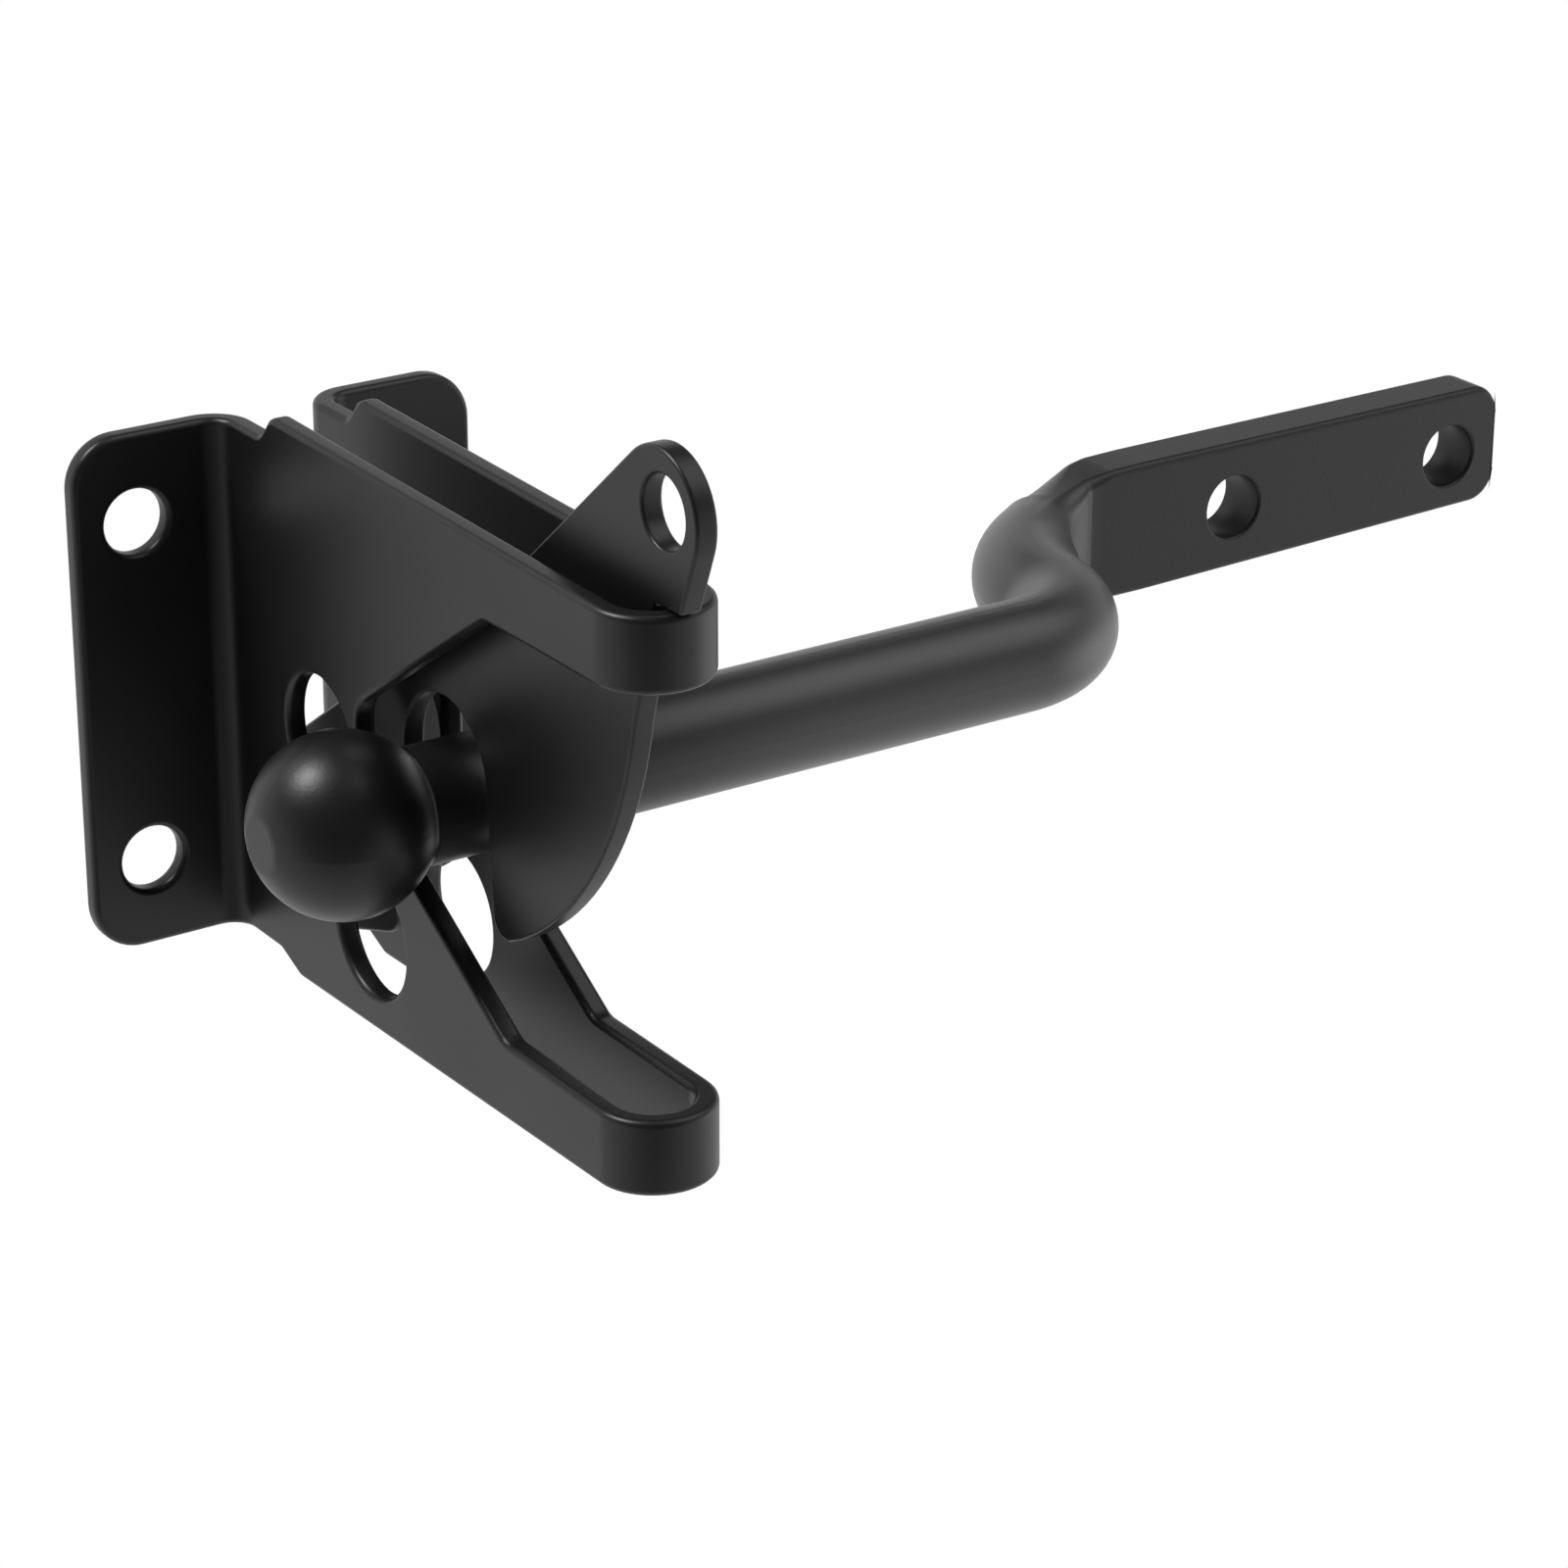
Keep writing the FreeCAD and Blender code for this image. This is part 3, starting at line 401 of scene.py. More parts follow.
def surface_group(name):
    """A group that varies colour, roughness and height over the surface.

    Patch Size and Grain Size are in metres, in the part's own space.
    """
    group = bpy.data.node_groups.new(name, "ShaderNodeTree")
    face = group.interface
    face.new_socket("Color", in_out="INPUT", socket_type="NodeSocketColor")
    for label in ("Roughness", "Patch Size", "Patch Amount", "Grain Size", "Grain Height"):
        face.new_socket(label, in_out="INPUT", socket_type="NodeSocketFloat")
    face.new_socket("Color", in_out="OUTPUT", socket_type="NodeSocketColor")
    face.new_socket("Roughness", in_out="OUTPUT", socket_type="NodeSocketFloat")
    face.new_socket("Height", in_out="OUTPUT", socket_type="NodeSocketFloat")
    nodes, links = group.nodes, group.links
    given = nodes.new("NodeGroupInput")
    result = nodes.new("NodeGroupOutput")
    place = nodes.new("ShaderNodeTexCoord")

    def noise(size_label, detail):
        texture = nodes.new("ShaderNodeTexNoise")
        texture.inputs["Detail"].default_value = detail
        scale = nodes.new("ShaderNodeMath")
        scale.operation = "DIVIDE"
        scale.inputs[0].default_value = 1.0
        links.new(given.outputs[size_label], scale.inputs[1])
        links.new(scale.outputs[0], texture.inputs["Scale"])
        links.new(place.outputs["Object"], texture.inputs["Vector"])
        centred = nodes.new("ShaderNodeMath")
        centred.operation = "SUBTRACT"
        centred.inputs[1].default_value = NOISE_MIDDLE
        links.new(texture.outputs["Fac"], centred.inputs[0])
        return centred.outputs[0]

    def maths(operation, first, second):
        node = nodes.new("ShaderNodeMath")
        node.operation = operation
        for socket, source in zip(node.inputs, (first, second)):
            if isinstance(source, float):
                socket.default_value = source
            else:
                links.new(source, socket)
        return node.outputs[0]

    patches = maths(
        "MULTIPLY", noise("Patch Size", PATCH_DETAIL), given.outputs["Patch Amount"],
    )
    grain = noise("Grain Size", GRAIN_DETAIL)
    links.new(maths("ADD", given.outputs["Roughness"], patches), result.inputs["Roughness"])
    links.new(maths("MULTIPLY", grain, given.outputs["Grain Height"]), result.inputs["Height"])
    tint = nodes.new("ShaderNodeVectorMath")
    tint.operation = "SCALE"
    links.new(given.outputs["Color"], tint.inputs[0])
    links.new(maths("ADD", maths("MULTIPLY", patches, PATCH_TINT), 1.0), tint.inputs["Scale"])
    links.new(tint.outputs[0], result.inputs["Color"])
    return group


def textured_material(name, group, colour, roughness, patch, amount, grain, height):
    """A material whose colour, roughness and bump come from the shared group."""
    material, shader = new_material(name)
    nodes, links = material.node_tree.nodes, material.node_tree.links
    surface = nodes.new("ShaderNodeGroup")
    surface.node_tree = group
    surface.inputs["Color"].default_value = (*colour, 1.0)
    surface.inputs["Roughness"].default_value = roughness
    surface.inputs["Patch Size"].default_value = patch
    surface.inputs["Patch Amount"].default_value = amount
    surface.inputs["Grain Size"].default_value = grain
    surface.inputs["Grain Height"].default_value = height
    bump = nodes.new("ShaderNodeBump")
    bump.inputs["Distance"].default_value = 1.0
    bump.inputs["Strength"].default_value = 1.0
    links.new(surface.outputs["Color"], shader.inputs["Base Color"])
    links.new(surface.outputs["Roughness"], shader.inputs["Roughness"])
    links.new(surface.outputs["Height"], bump.inputs["Height"])
    links.new(bump.outputs["Normal"], shader.inputs["Normal"])
    return material, shader


def coat_material():
    """The black powder coat, made once and shared by every coated piece."""
    made = bpy.data.materials.get("black_powder_coat")
    if made:
        return made
    coat = bpy.context.scene.latch_coat
    group = surface_group("CoatedSurface")
    material, shader = textured_material(
        "black_powder_coat", group, coat.colour, coat.roughness, coat.patch_size,
        coat.patch_amount, coat.peel_size, coat.peel_height,
    )
    shader.inputs["Specular IOR Level"].default_value = coat.gloss
    return material


def dulling_group():
    """A group that takes a coat to its duller self along the bar, with fine grit."""
    group = bpy.data.node_groups.new("DullAlongBar", "ShaderNodeTree")
    face = group.interface
    for label in ("Color", "Dull Color"):
        face.new_socket(label, in_out="INPUT", socket_type="NodeSocketColor")
    for label in (
        "Roughness", "Dull Roughness", "From", "To", "Grit Size", "Grit Amount",
        "Sheen", "Fade From", "Fade To",
    ):
        face.new_socket(label, in_out="INPUT", socket_type="NodeSocketFloat")
    face.new_socket("Color", in_out="OUTPUT", socket_type="NodeSocketColor")
    for label in ("Roughness", "Shine"):
        face.new_socket(label, in_out="OUTPUT", socket_type="NodeSocketFloat")
    nodes, links = group.nodes, group.links
    given = nodes.new("NodeGroupInput")
    result = nodes.new("NodeGroupOutput")
    place = nodes.new("ShaderNodeTexCoord")
    split = nodes.new("ShaderNodeSeparateXYZ")
    links.new(place.outputs["Object"], split.inputs[0])
    share = nodes.new("ShaderNodeMapRange")
    share.interpolation_type = "SMOOTHSTEP"
    links.new(split.outputs["X"], share.inputs["Value"])
    links.new(given.outputs["From"], share.inputs["From Min"])
    links.new(given.outputs["To"], share.inputs["From Max"])
    scale = nodes.new("ShaderNodeMath")
    scale.operation = "DIVIDE"
    scale.inputs[0].default_value = 1.0
    links.new(given.outputs["Grit Size"], scale.inputs[1])
    grit = nodes.new("ShaderNodeTexNoise")
    grit.inputs["Detail"].default_value = GRIT_DETAIL
    links.new(place.outputs["Object"], grit.inputs["Vector"])
    links.new(scale.outputs[0], grit.inputs["Scale"])
    around = nodes.new("ShaderNodeMath")
    around.operation = "SUBTRACT"
    around.inputs[1].default_value = NOISE_MIDDLE
    links.new(grit.outputs["Fac"], around.inputs[0])
    swing = nodes.new("ShaderNodeMath")
    swing.operation = "MULTIPLY_ADD"
    swing.inputs[2].default_value = 1.0
    links.new(around.outputs[0], swing.inputs[0])
    links.new(given.outputs["Grit Amount"], swing.inputs[1])
    speckled = nodes.new("ShaderNodeVectorMath")
    speckled.operation = "SCALE"
    links.new(given.outputs["Dull Color"], speckled.inputs[0])
    links.new(swing.outputs[0], speckled.inputs["Scale"])
    tint = nodes.new("ShaderNodeMix")
    tint.data_type = "RGBA"
    links.new(share.outputs["Result"], tint.inputs["Factor"])
    links.new(given.outputs["Color"], tint.inputs["A"])
    links.new(speckled.outputs[0], tint.inputs["B"])
    links.new(tint.outputs["Result"], result.inputs["Color"])
    rough = nodes.new("ShaderNodeMapRange")
    links.new(share.outputs["Result"], rough.inputs["Value"])
    links.new(given.outputs["Roughness"], rough.inputs["To Min"])
    links.new(given.outputs["Dull Roughness"], rough.inputs["To Max"])
    links.new(rough.outputs["Result"], result.inputs["Roughness"])
    fade = nodes.new("ShaderNodeMapRange")
    fade.interpolation_type = "SMOOTHSTEP"
    links.new(split.outputs["X"], fade.inputs["Value"])
    links.new(given.outputs["Fade From"], fade.inputs["From Min"])
    links.new(given.outputs["Fade To"], fade.inputs["From Max"])
    links.new(given.outputs["Sheen"], fade.inputs["To Min"])
    fade.inputs["To Max"].default_value = 0.0
    shine = nodes.new("ShaderNodeMath")
    shine.operation = "MULTIPLY"
    links.new(share.outputs["Result"], shine.inputs[0])
    links.new(fade.outputs["Result"], shine.inputs[1])
    links.new(shine.outputs[0], result.inputs["Shine"])
    return group


def forging_material():
    """The powder coat on the forged bar: as the rest at the ball, and duller along the bar."""
    coat, forging = bpy.context.scene.latch_coat, bpy.context.scene.latch_forging
    material, shader = textured_material(
        "black_forging_coat", surface_group("ForgedSurface"), coat.colour, coat.roughness,
        coat.patch_size, coat.patch_amount, forging.grit_size, forging.grit_height,
    )
    shader.inputs["Specular IOR Level"].default_value = coat.gloss
    shader.inputs["Coat Roughness"].default_value = forging.roughness
    nodes, links = material.node_tree.nodes, material.node_tree.links
    dull = nodes.new("ShaderNodeGroup")
    dull.node_tree = dulling_group()
    surface = next(node for node in nodes if node.type == "GROUP" and node is not dull)
    links.new(surface.outputs["Color"], dull.inputs["Color"])
    links.new(surface.outputs["Roughness"], dull.inputs["Roughness"])
    dull.inputs["Dull Color"].default_value = (*forging.colour, 1.0)
    dull.inputs["Dull Roughness"].default_value = forging.roughness
    dull.inputs["From"].default_value = forging.dull_from
    dull.inputs["To"].default_value = forging.dull_to
    dull.inputs["Grit Size"].default_value = forging.grit_size
    dull.inputs["Grit Amount"].default_value = forging.grit_amount
    dull.inputs["Sheen"].default_value = forging.sheen
    dull.inputs["Fade From"].default_value = forging.strap_from
    dull.inputs["Fade To"].default_value = forging.strap_to
    links.new(dull.outputs["Color"], shader.inputs["Base Color"])
    links.new(dull.outputs["Roughness"], shader.inputs["Roughness"])
    links.new(dull.outputs["Shine"], shader.inputs["Coat Weight"])
    return material


def spring_material():
    """The drawn steel wire of the spring."""
    wire = bpy.context.scene.latch_spring
    group = surface_group("WireSurface")
    material, shader = textured_material(
        "spring_wire", group, wire.colour, wire.roughness, wire.patch_size,
        wire.patch_amount, wire.grain_size, wire.grain_height,
    )
    shader.inputs["Metallic"].default_value = 1.0
    return material


def join_points(piece, name):
    """Make one point of those that lie on each other."""
    joined = piece.modifiers.new(name, "WELD")
    joined.merge_threshold = WELD_WITHIN


def round_edges(piece, edge):
    """Round a piece's sharp edges, and keep its flat faces flat."""
    edges = bpy.context.scene.latch_edges
    join_points(piece, "Joined faces")
    flat = piece.modifiers.new("Whole flat faces", "DECIMATE")
    flat.decimate_type = "DISSOLVE"
    flat.angle_limit = math.radians(FLAT_WITHIN)
    bevel = piece.modifiers.new("Edge rounding", "BEVEL")
    bevel.use_clamp_overlap = False
    bevel.loop_slide = False
    bevel.width = edge
    bevel.segments = edges.steps
    bevel.limit_method = "ANGLE"
    bevel.angle_limit = edges.sharp_angle
    join_points(piece, "Joined corners")
    weighted = piece.modifiers.new("Flat faces", "WEIGHTED_NORMAL")
    weighted.keep_sharp = True


def settle(piece):
    """Keep the shape that a piece's modifiers give it, and take them off."""
    graph = bpy.context.evaluated_depsgraph_get()
    shaped = bpy.data.meshes.new_from_object(piece.evaluated_get(graph))
    piece.modifiers.clear()
    piece.data = shaped


def finish_node(name, material, edge):
    """Give a CAD node its material, smooth shading and rounded edges."""
    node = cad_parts.get(name)
    if node is None:
        raise RuntimeError("the packed model has no node named " + name)
    node.data.materials.clear()
    node.data.materials.append(material)
    node.data.shade_smooth()
    round_edges(node, edge)
    return node


class LATCH_OT_bracket(bpy.types.Operator):
    """Finish the folded bracket"""

    bl_idname = "latch.bracket"
    bl_label = "Bracket"

    def execute(self, context):
        finish_node("latch_bracket", coat_material(), context.scene.latch_edges.sheet_edge)
        return {"FINISHED"}


class LATCH_OT_pawl(bpy.types.Operator):
    """Finish the drop pawl"""

    bl_idname = "latch.pawl"
    bl_label = "Pawl"

    def execute(self, context):
        finish_node("pawl", coat_material(), context.scene.latch_edges.pawl_edge)
        return {"FINISHED"}


class LATCH_OT_pivot(bpy.types.Operator):
    """Finish the rivet, its two spacers and the spring"""

    bl_idname = "latch.pivot"
    bl_label = "Pivot and spring"

    def execute(self, context):
        edge = context.scene.latch_edges.small_edge
        for name in ("pivot_rivet", "spring_spacer", "pawl_spacer"):
            finish_node(name, coat_material(), edge)
        packed = finish_node("torsion_spring", spring_material(), edge)
        spring = bpy.data.objects.new("torsion_spring_wire", packed.data)
        context.collection.objects.link(spring)
        round_edges(spring, edge)
        settle(spring)
        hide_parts("torsion_spring")
        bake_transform(spring)
        return {"FINISHED"}


class Station:
    """One cross-section of the forging.

    It has a place and a heading in plan, how far it goes to the front, back, top
    and bottom of the axis, and the radius of its front and of its back corners.
    """

    def __init__(self, place, turn, front, back, top, bottom, front_round, back_round):
        self.place = place
        self.turn = turn
        self.sides = (front, back, top, bottom)
        fits = min(1.0, NEARLY * (front + back) / (front_round + back_round))
        highest = NEARLY * (top + bottom) / 2
        self.front_round = min(front_round * fits, highest)
        self.back_round = min(back_round * fits, highest)

    def points(self, axis_height):
        """The section's corners, each an arc, all the way round."""
        front, back, top, bottom = self.sides
        across = Vector((math.sin(self.turn), -math.cos(self.turn), 0.0))
        middle = Vector((self.place[0], self.place[1], axis_height))
        near, far = self.front_round, self.back_round
        corners = (
            (front - near, top - near, near, 0),
            (far - back, top - far, far, 1),
            (far - back, far - bottom, far, 2),
            (front - near, near - bottom, near, 3),
        )
        made = []
        for side, rise, inset, quarter in corners:
            for step in range(CORNER_STEPS + 1):
                angle = (quarter + step / CORNER_STEPS) * math.pi / 2
                made.append(
                    middle
                    + across * (side + inset * math.cos(angle))
                    + Vector((0.0, 0.0, rise + inset * math.sin(angle)))
                )
        return made


def smooth(value, start, end):
    """0 before start, 1 after end, and an even S between them."""
    share = min(max((value - start) / (end - start), 0.0), 1.0)
    return share * share * (3.0 - 2.0 * share)


def between(value, steps):
    """The second number of the steps, evenly between the two that value lies between."""
    for (low, first), (high, second) in zip(steps, steps[1:]):
        if value <= high:
            return first + (second - first) * max(value - low, 0.0) / (high - low)
    return steps[-1][1]


def round_station(x, reach, turn, radius):
    """A round cross-section."""
    return Station((x, -reach), turn, *[radius] * 6)


def ball_stations(striker):
    """The ball with its flat, and the small fillet to the bar."""
    ball, bar, fillet = striker.ball_size / 2, striker.bar_size / 2, striker.neck_round
    fillet_side = math.sqrt((ball + fillet) ** 2 - (bar + fillet) ** 2)
    first = math.pi - math.asin(striker.ball_facet / 2 / ball)
    last = math.atan2(bar + fillet, fillet_side)
    made = []
    for step in range(BALL_STEPS + 1):
        angle = first + (last - first) * step / BALL_STEPS
        made.append((ball * math.cos(angle), ball * math.sin(angle)))
    for step in range(1, FILLET_STEPS + 1):
        angle = last * (1 - step / FILLET_STEPS) + math.pi / 2 * (step / FILLET_STEPS)
        made.append((
            fillet_side - fillet * math.cos(angle), bar + fillet - fillet * math.sin(angle),
        ))
    return [
        round_station(side - striker.ball_side, striker.bar_reach, 0.0, radius)
        for side, radius in made
    ]


def bend_stations(striker):
    """The first bend, round, and the second, where the bar is pressed flat."""
    bar, thick, high = striker.bar_size / 2, striker.strap_thick, striker.strap_high / 2
    angle = striker.bend_angle
    across = (striker.bar_reach - striker.strap_reach) / (1 - math.cos(angle))
    second = across - striker.first_bend
    end = striker.bend_start + across * math.sin(angle)
    centre = striker.strap_reach + second
    made = []
    for step in range(BEND_STEPS + 1):
        turn = angle * step / BEND_STEPS
        made.append(round_station(
            striker.bend_start + striker.first_bend * math.sin(turn),
            striker.bar_reach - striker.first_bend * (1 - math.cos(turn)), turn, bar,
        ))
    flat_turn = math.asin(striker.flat_start / (second - thick / 2))
    for step in range(1, 2 * BEND_STEPS + 1):
        turn = angle * (1 - step / (2 * BEND_STEPS))
        x = end - second * math.sin(turn)
        if turn <= flat_turn:
            front = second - (second - thick / 2) / math.cos(turn)
        else:
            front = between(math.degrees(turn), PRESSED_FRONT) * MM
        back = min(bar, (second + thick / 2) / math.cos(turn) - second)
        half = bar + (high - bar) * smooth(x, striker.flare_from, striker.flare_to)
        made.append(Station(
            (x, second * math.cos(turn) - centre), turn, front, back, half, half,
            between(math.degrees(turn), FRONT_CORNERS) * MM,
            between(math.degrees(turn), BACK_CORNERS) * MM,
        ))
    return made


def strap_stations(striker, start):
    """The flat strap, whose lower edge rises, up to its rounded end."""
    half, bar = striker.strap_high / 2, striker.bar_size / 2
    corner, length = striker.strap_corner, striker.strap_end - start
    places = [start + (length - corner) * step / STRAP_STEPS for step in range(1, STRAP_STEPS + 1)]
    places += [
        striker.strap_end - corner * (1 - math.sin(math.pi / 2 * step / END_STEPS))
        for step in range(1, END_STEPS + 1)
    ]
    made = []
    for x in places:
        past = max(x - (striker.strap_end - corner), 0.0)
        cut = corner - math.sqrt(max(corner ** 2 - past ** 2, 0.0))
        grown = bar + (half - bar) * smooth(x, striker.flare_from, striker.flare_to)
        top = grown - cut
        bottom = grown - striker.strap_taper * (x - start) / length - cut
        made.append(Station(
            (x, -striker.strap_reach), 0.0, striker.strap_thick / 2, striker.strap_thick / 2,
            top, bottom, striker.edge_round, striker.edge_round,
        ))
    return made


def skin(name, stations, axis_height):
    """A closed mesh through all the stations."""
    sheet = bmesh.new()
    rings = [
        [sheet.verts.new(point) for point in station.points(axis_height)]
        for station in stations
    ]
    count = len(rings[0])
    for near, far in zip(rings, rings[1:]):
        for spot in range(count):
            after = (spot + 1) % count
            sheet.faces.new((near[spot], near[after], far[after], far[spot]))
    sheet.faces.new(rings[0])
    sheet.faces.new(rings[-1])
    bmesh.ops.recalc_face_normals(sheet, faces=sheet.faces)
    mesh = bpy.data.meshes.new(name)
    sheet.to_mesh(mesh)
    sheet.free()
    return mesh


def drill(piece, x, reach, height, diameter):
    """Cut a round hole from front to back."""
    tool_mesh = bpy.data.meshes.new("drill")
    tool = bmesh.new()
    turned = Matrix.Translation((x, -reach, height)) @ Matrix.Rotation(math.pi / 2, 4, "X")
    bmesh.ops.create_cone(
        tool, cap_ends=True, segments=HOLE_STEPS, radius1=diameter / 2,
        radius2=diameter / 2, depth=DRILL_LENGTH * diameter, matrix=turned,
    )
    tool.to_mesh(tool_mesh)
    tool.free()
    cutter = bpy.data.objects.new("drill", tool_mesh)
    bpy.context.collection.objects.link(cutter)
    cut = piece.modifiers.new("Hole", "BOOLEAN")
    cut.operation = "DIFFERENCE"
    cut.solver = "EXACT"
    cut.object = cutter
    settle(piece)
    bpy.data.objects.remove(cutter)
    bpy.data.meshes.remove(tool_mesh)


class LATCH_OT_striker(bpy.types.Operator):
    """Forge the striker from one bar: ball, straight run, double bend and flat strap"""

    bl_idname = "latch.striker"
    bl_label = "Striker bar"

    def execute(self, context):
        striker = context.scene.latch_striker
        stations = ball_stations(striker) + bend_stations(striker)
        stations += strap_stations(striker, stations[-1].place[0])
        mesh = skin("striker_forging", stations, -striker.bar_drop)
        forging = bpy.data.objects.new("striker_forging", mesh)
        context.collection.objects.link(forging)
        for x in (striker.strap_first, striker.strap_first + striker.strap_pitch):
            drill(forging, x, striker.strap_reach, -striker.bar_drop, striker.strap_hole)
        forging.data.materials.clear()
        forging.data.materials.append(forging_material())
        forging.data.shade_smooth()
        round_edges(forging, context.scene.latch_edges.strap_edge)
        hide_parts("striker_bar")
        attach(forging, "bracket")
        return {"FINISHED"}


def aim(item, place, target):
    """Put an object at a place, looking at a target."""
    item.location = place
    item.rotation_euler = (Vector(target) - Vector(place)).to_track_quat("-Z", "Y").to_euler()


def add_soft_light(name, place, width, height, power):
    """A rectangular soft light that looks at the latch, in metres and watts."""
    light = bpy.data.lights.new(name, "AREA")
    light.shape = "RECTANGLE"
    light.size = width
    light.size_y = height
    light.energy = power * bpy.context.scene.latch_stage.power
    item = bpy.data.objects.new(name, light)
    bpy.context.collection.objects.link(item)
    aim(item, place, LATCH_MIDDLE)


def seen_directly(nodes, links):
    """1 for what the camera sees itself, in a mirror or through glass, and 0 for the light."""
    path = nodes.new("ShaderNodeLightPath")
    total = path.outputs["Is Camera Ray"]
    for ray in ("Is Glossy Ray", "Is Transmission Ray"):
        add = nodes.new("ShaderNodeMath")
        add.operation = "MAXIMUM"
        links.new(total, add.inputs[0])
        links.new(path.outputs[ray], add.inputs[1])
        total = add.outputs[0]
    return total


def room_world(stage):
    """White for the camera; for light and reflections a room, darker above and in front."""
    world = bpy.data.worlds.new("surroundings")
    world.use_nodes = True
    nodes, links = world.node_tree.nodes, world.node_tree.links
    nodes.clear()
    seen = nodes.new("ShaderNodeBackground")
    seen.inputs["Color"].default_value = (1.0, 1.0, 1.0, 1.0)
    seen.inputs["Strength"].default_value = stage.background
    lit = nodes.new("ShaderNodeBackground")
    lit.inputs["Color"].default_value = (1.0, 1.0, 1.0, 1.0)
    towards = nodes.new("ShaderNodeTexCoord")
    facing = nodes.new("ShaderNodeVectorMath")
    facing.operation = "DOT_PRODUCT"
    front = (Vector(stage.camera_place) - Vector(LATCH_MIDDLE)).normalized()
    facing.inputs[1].default_value = front
    links.new(towards.outputs["Generated"], facing.inputs[0])
    split = nodes.new("ShaderNodeSeparateXYZ")
    links.new(towards.outputs["Generated"], split.inputs[0])
    ceiling = nodes.new("ShaderNodeMapRange")
    ceiling.interpolation_type = "SMOOTHSTEP"
    ceiling.inputs["From Min"].default_value = CEILING_START
    ceiling.inputs["From Max"].default_value = CEILING_END
    ceiling.inputs["To Min"].default_value = stage.room
    ceiling.inputs["To Max"].default_value = stage.room_top
    links.new(split.outputs["Z"], ceiling.inputs["Value"])
    shade = nodes.new("ShaderNodeMapRange")
    shade.interpolation_type = "SMOOTHSTEP"
    shade.inputs["From Min"].default_value = DARK_EDGE
    shade.inputs["From Max"].default_value = DARK_MIDDLE
    shade.inputs["To Max"].default_value = stage.room_front
    links.new(ceiling.outputs["Result"], shade.inputs["To Min"])
    links.new(facing.outputs["Value"], shade.inputs["Value"])
    links.new(shade.outputs["Result"], lit.inputs["Strength"])
    path = nodes.new("ShaderNodeLightPath")
    mix = nodes.new("ShaderNodeMixShader")
    output = nodes.new("ShaderNodeOutputWorld")
    links.new(path.outputs["Is Camera Ray"], mix.inputs["Fac"])
    links.new(lit.outputs[0], mix.inputs[1])
    links.new(seen.outputs[0], mix.inputs[2])
    links.new(mix.outputs[0], output.inputs["Surface"])
    bpy.context.scene.world = world


def floor_material(colour, background):
    """Pale board that keeps the shadow where light falls, and is white to look at."""
    material = bpy.data.materials.new("pale_floor")
    material.use_nodes = True
    nodes, links = material.node_tree.nodes, material.node_tree.links
    nodes.clear()
    board = nodes.new("ShaderNodeBsdfDiffuse")
    board.inputs["Color"].default_value = (*colour, 1.0)
    white = nodes.new("ShaderNodeEmission")
    white.inputs["Strength"].default_value = background
    through = nodes.new("ShaderNodeBsdfTransparent")
    side = nodes.new("ShaderNodeNewGeometry")
    look = nodes.new("ShaderNodeMixShader")
    under = nodes.new("ShaderNodeMixShader")
    output = nodes.new("ShaderNodeOutputMaterial")
    links.new(seen_directly(nodes, links), look.inputs["Fac"])
    links.new(board.outputs[0], look.inputs[1])
    links.new(white.outputs[0], look.inputs[2])
    links.new(side.outputs["Backfacing"], under.inputs["Fac"])
    links.new(look.outputs[0], under.inputs[1])
    links.new(through.outputs[0], under.inputs[2])
    links.new(under.outputs[0], output.inputs["Surface"])
    return material


def make_floor(stage):
    """A floor that curves up into a wall behind the latch."""
    curve, back, top = SWEEP_CURVE, SWEEP_BACK, SWEEP_TOP
    floor = -stage.floor_drop
    profile = [(SWEEP_FRONT, floor)]
    for step in range(SWEEP_STEPS + 1):
        angle = math.pi / 2 * step / SWEEP_STEPS
        profile.append((
            back - curve + curve * math.sin(angle), floor + curve - curve * math.cos(angle),
        ))
    profile.append((back, top))
    points = [(side, y, z) for y, z in profile for side in (SWEEP_LEFT, SWEEP_RIGHT)]
    faces = [
        (2 * row, 2 * row + 1, 2 * row + 3, 2 * row + 2) for row in range(len(profile) - 1)
    ]
    mesh = bpy.data.meshes.new("floor")
    mesh.from_pydata(points, [], faces)
    mesh.materials.append(floor_material(stage.floor_colour, stage.background))
    mesh.shade_smooth()
    item = bpy.data.objects.new("floor", mesh)
    bpy.context.collection.objects.link(item)


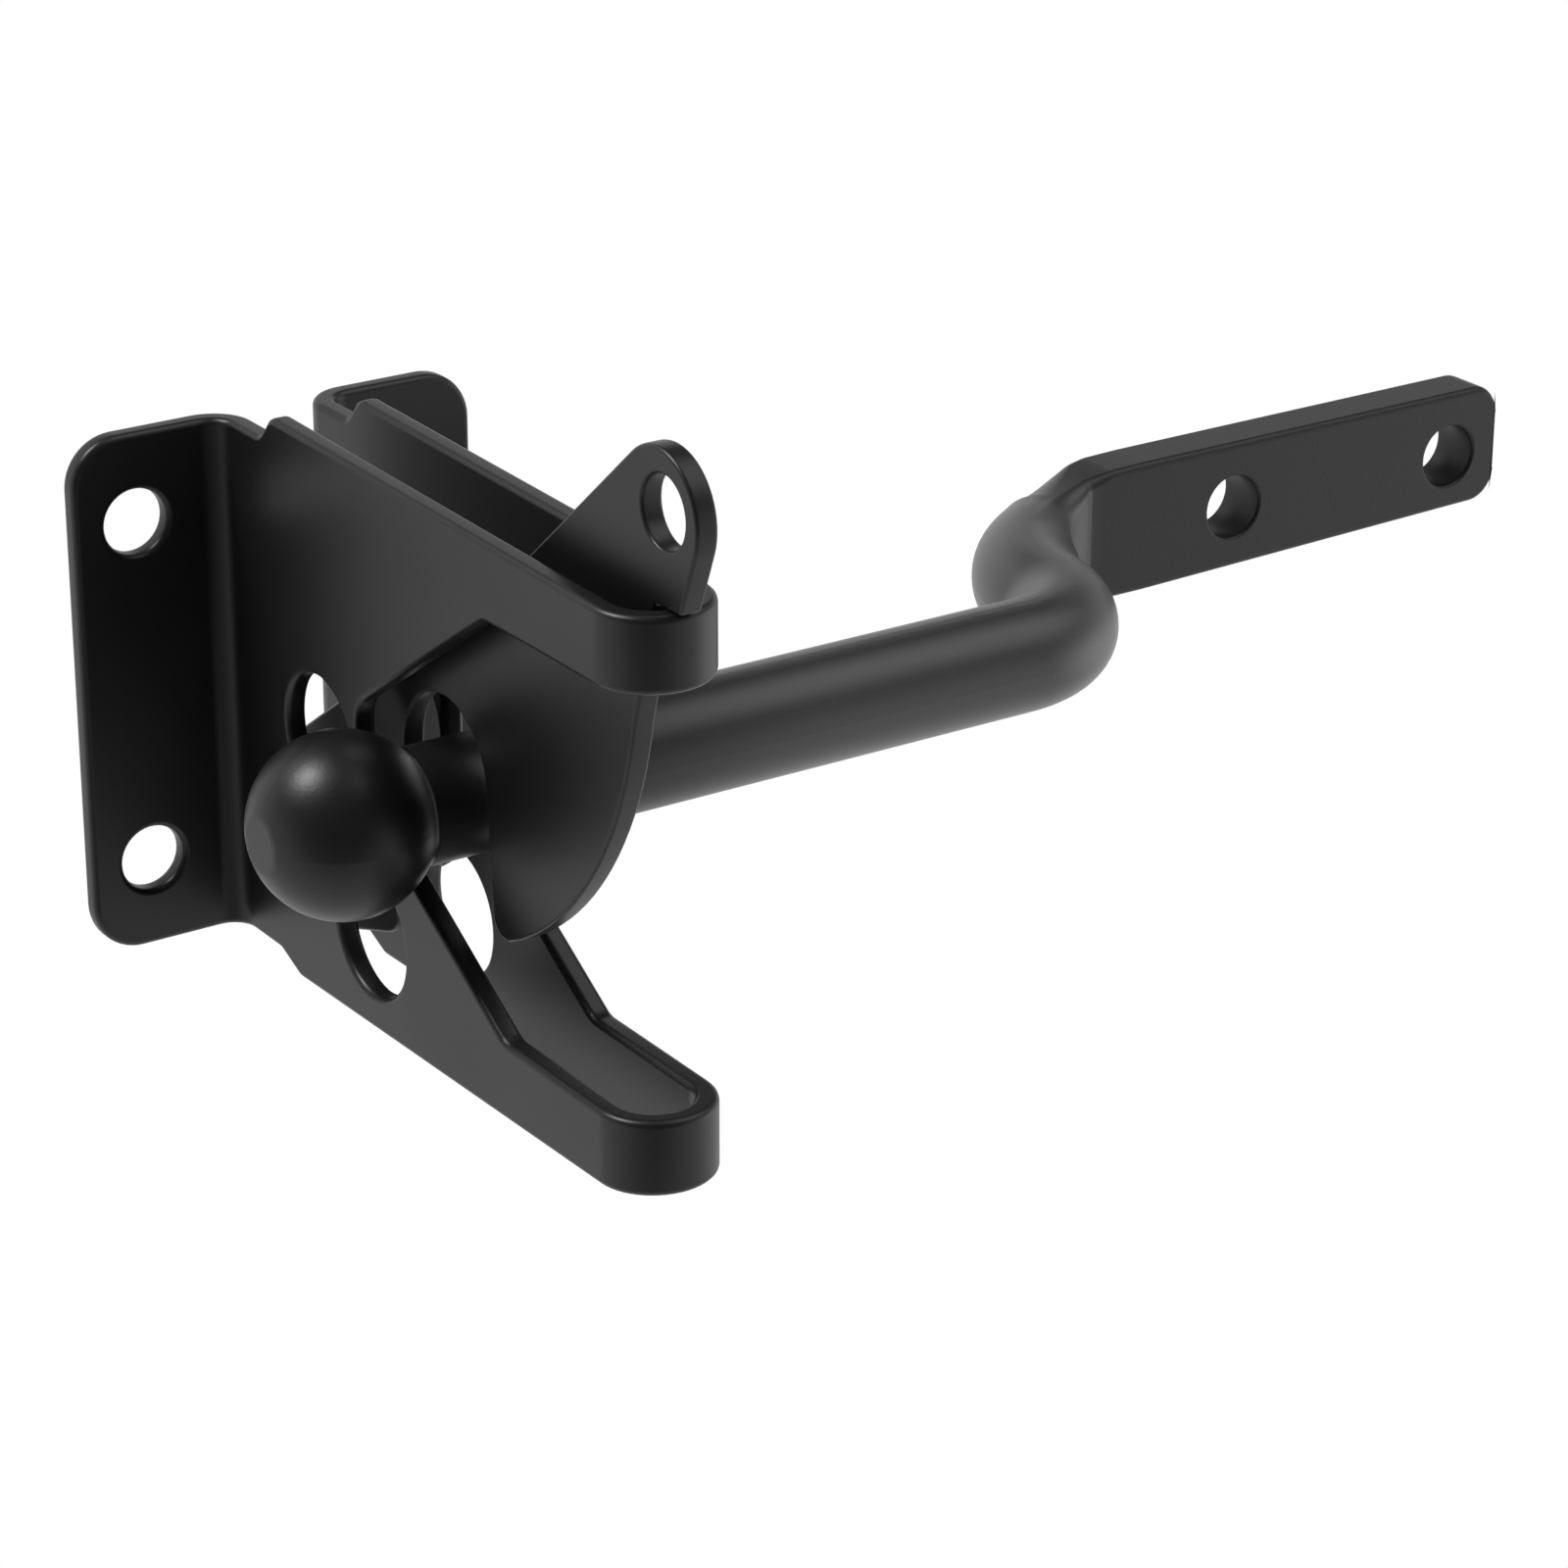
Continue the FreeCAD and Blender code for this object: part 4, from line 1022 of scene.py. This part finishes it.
class LATCH_OT_stage(bpy.types.Operator):
    """Set up the camera, the lights, the floor and the surroundings"""

    bl_idname = "latch.stage"
    bl_label = "Camera and lights"

    def execute(self, context):
        stage = context.scene.latch_stage
        room_world(stage)
        make_floor(stage)
        for name, place, width, height, power in LAMPS:
            add_soft_light(name, place, width, height, power)
        data = bpy.data.cameras.new("camera")
        data.lens = stage.lens
        camera = bpy.data.objects.new("camera", data)
        context.collection.objects.link(camera)
        camera.location = stage.camera_place
        camera.rotation_euler = stage.camera_turn
        context.scene.camera = camera
        context.scene.view_settings.view_transform = "Standard"
        return {"FINISHED"}


class LATCH_PT_panel(bpy.types.Panel):
    """The latch's settings and one button a piece"""

    bl_idname = "LATCH_PT_panel"
    bl_label = "Gate latch"
    bl_space_type = "VIEW_3D"
    bl_region_type = "UI"
    bl_category = "Gate latch"

    def draw(self, context):
        for group in SETTINGS:
            box = self.layout.box()
            settings = getattr(context.scene, group)
            for name in settings.bl_rna.properties.keys():
                if name not in ("rna_type", "name"):
                    box.prop(settings, name)
        for operator in OPERATORS:
            self.layout.operator(operator.bl_idname)


SETTINGS = {
    "latch_coat": CoatSettings,
    "latch_spring": SpringSettings,
    "latch_edges": EdgeSettings,
    "latch_forging": ForgingSettings,
    "latch_striker": StrikerSettings,
    "latch_stage": StageSettings,
}
OPERATORS = (
    LATCH_OT_bracket,
    LATCH_OT_pawl,
    LATCH_OT_pivot,
    LATCH_OT_striker,
    LATCH_OT_stage,
)


def register():
    for name, settings in SETTINGS.items():
        bpy.utils.register_class(settings)
        setattr(bpy.types.Scene, name, bpy.props.PointerProperty(type=settings))
    for operator in OPERATORS:
        bpy.utils.register_class(operator)
    bpy.utils.register_class(LATCH_PT_panel)


def unregister():
    bpy.utils.unregister_class(LATCH_PT_panel)
    for operator in reversed(OPERATORS):
        bpy.utils.unregister_class(operator)
    for name, settings in SETTINGS.items():
        delattr(bpy.types.Scene, name)
        bpy.utils.unregister_class(settings)


def main():
    register()
    bpy.ops.latch.bracket()
    bpy.ops.latch.pawl()
    bpy.ops.latch.pivot()
    bpy.ops.latch.striker()
    bpy.ops.latch.stage()


if __name__ == "__main__":
    main()
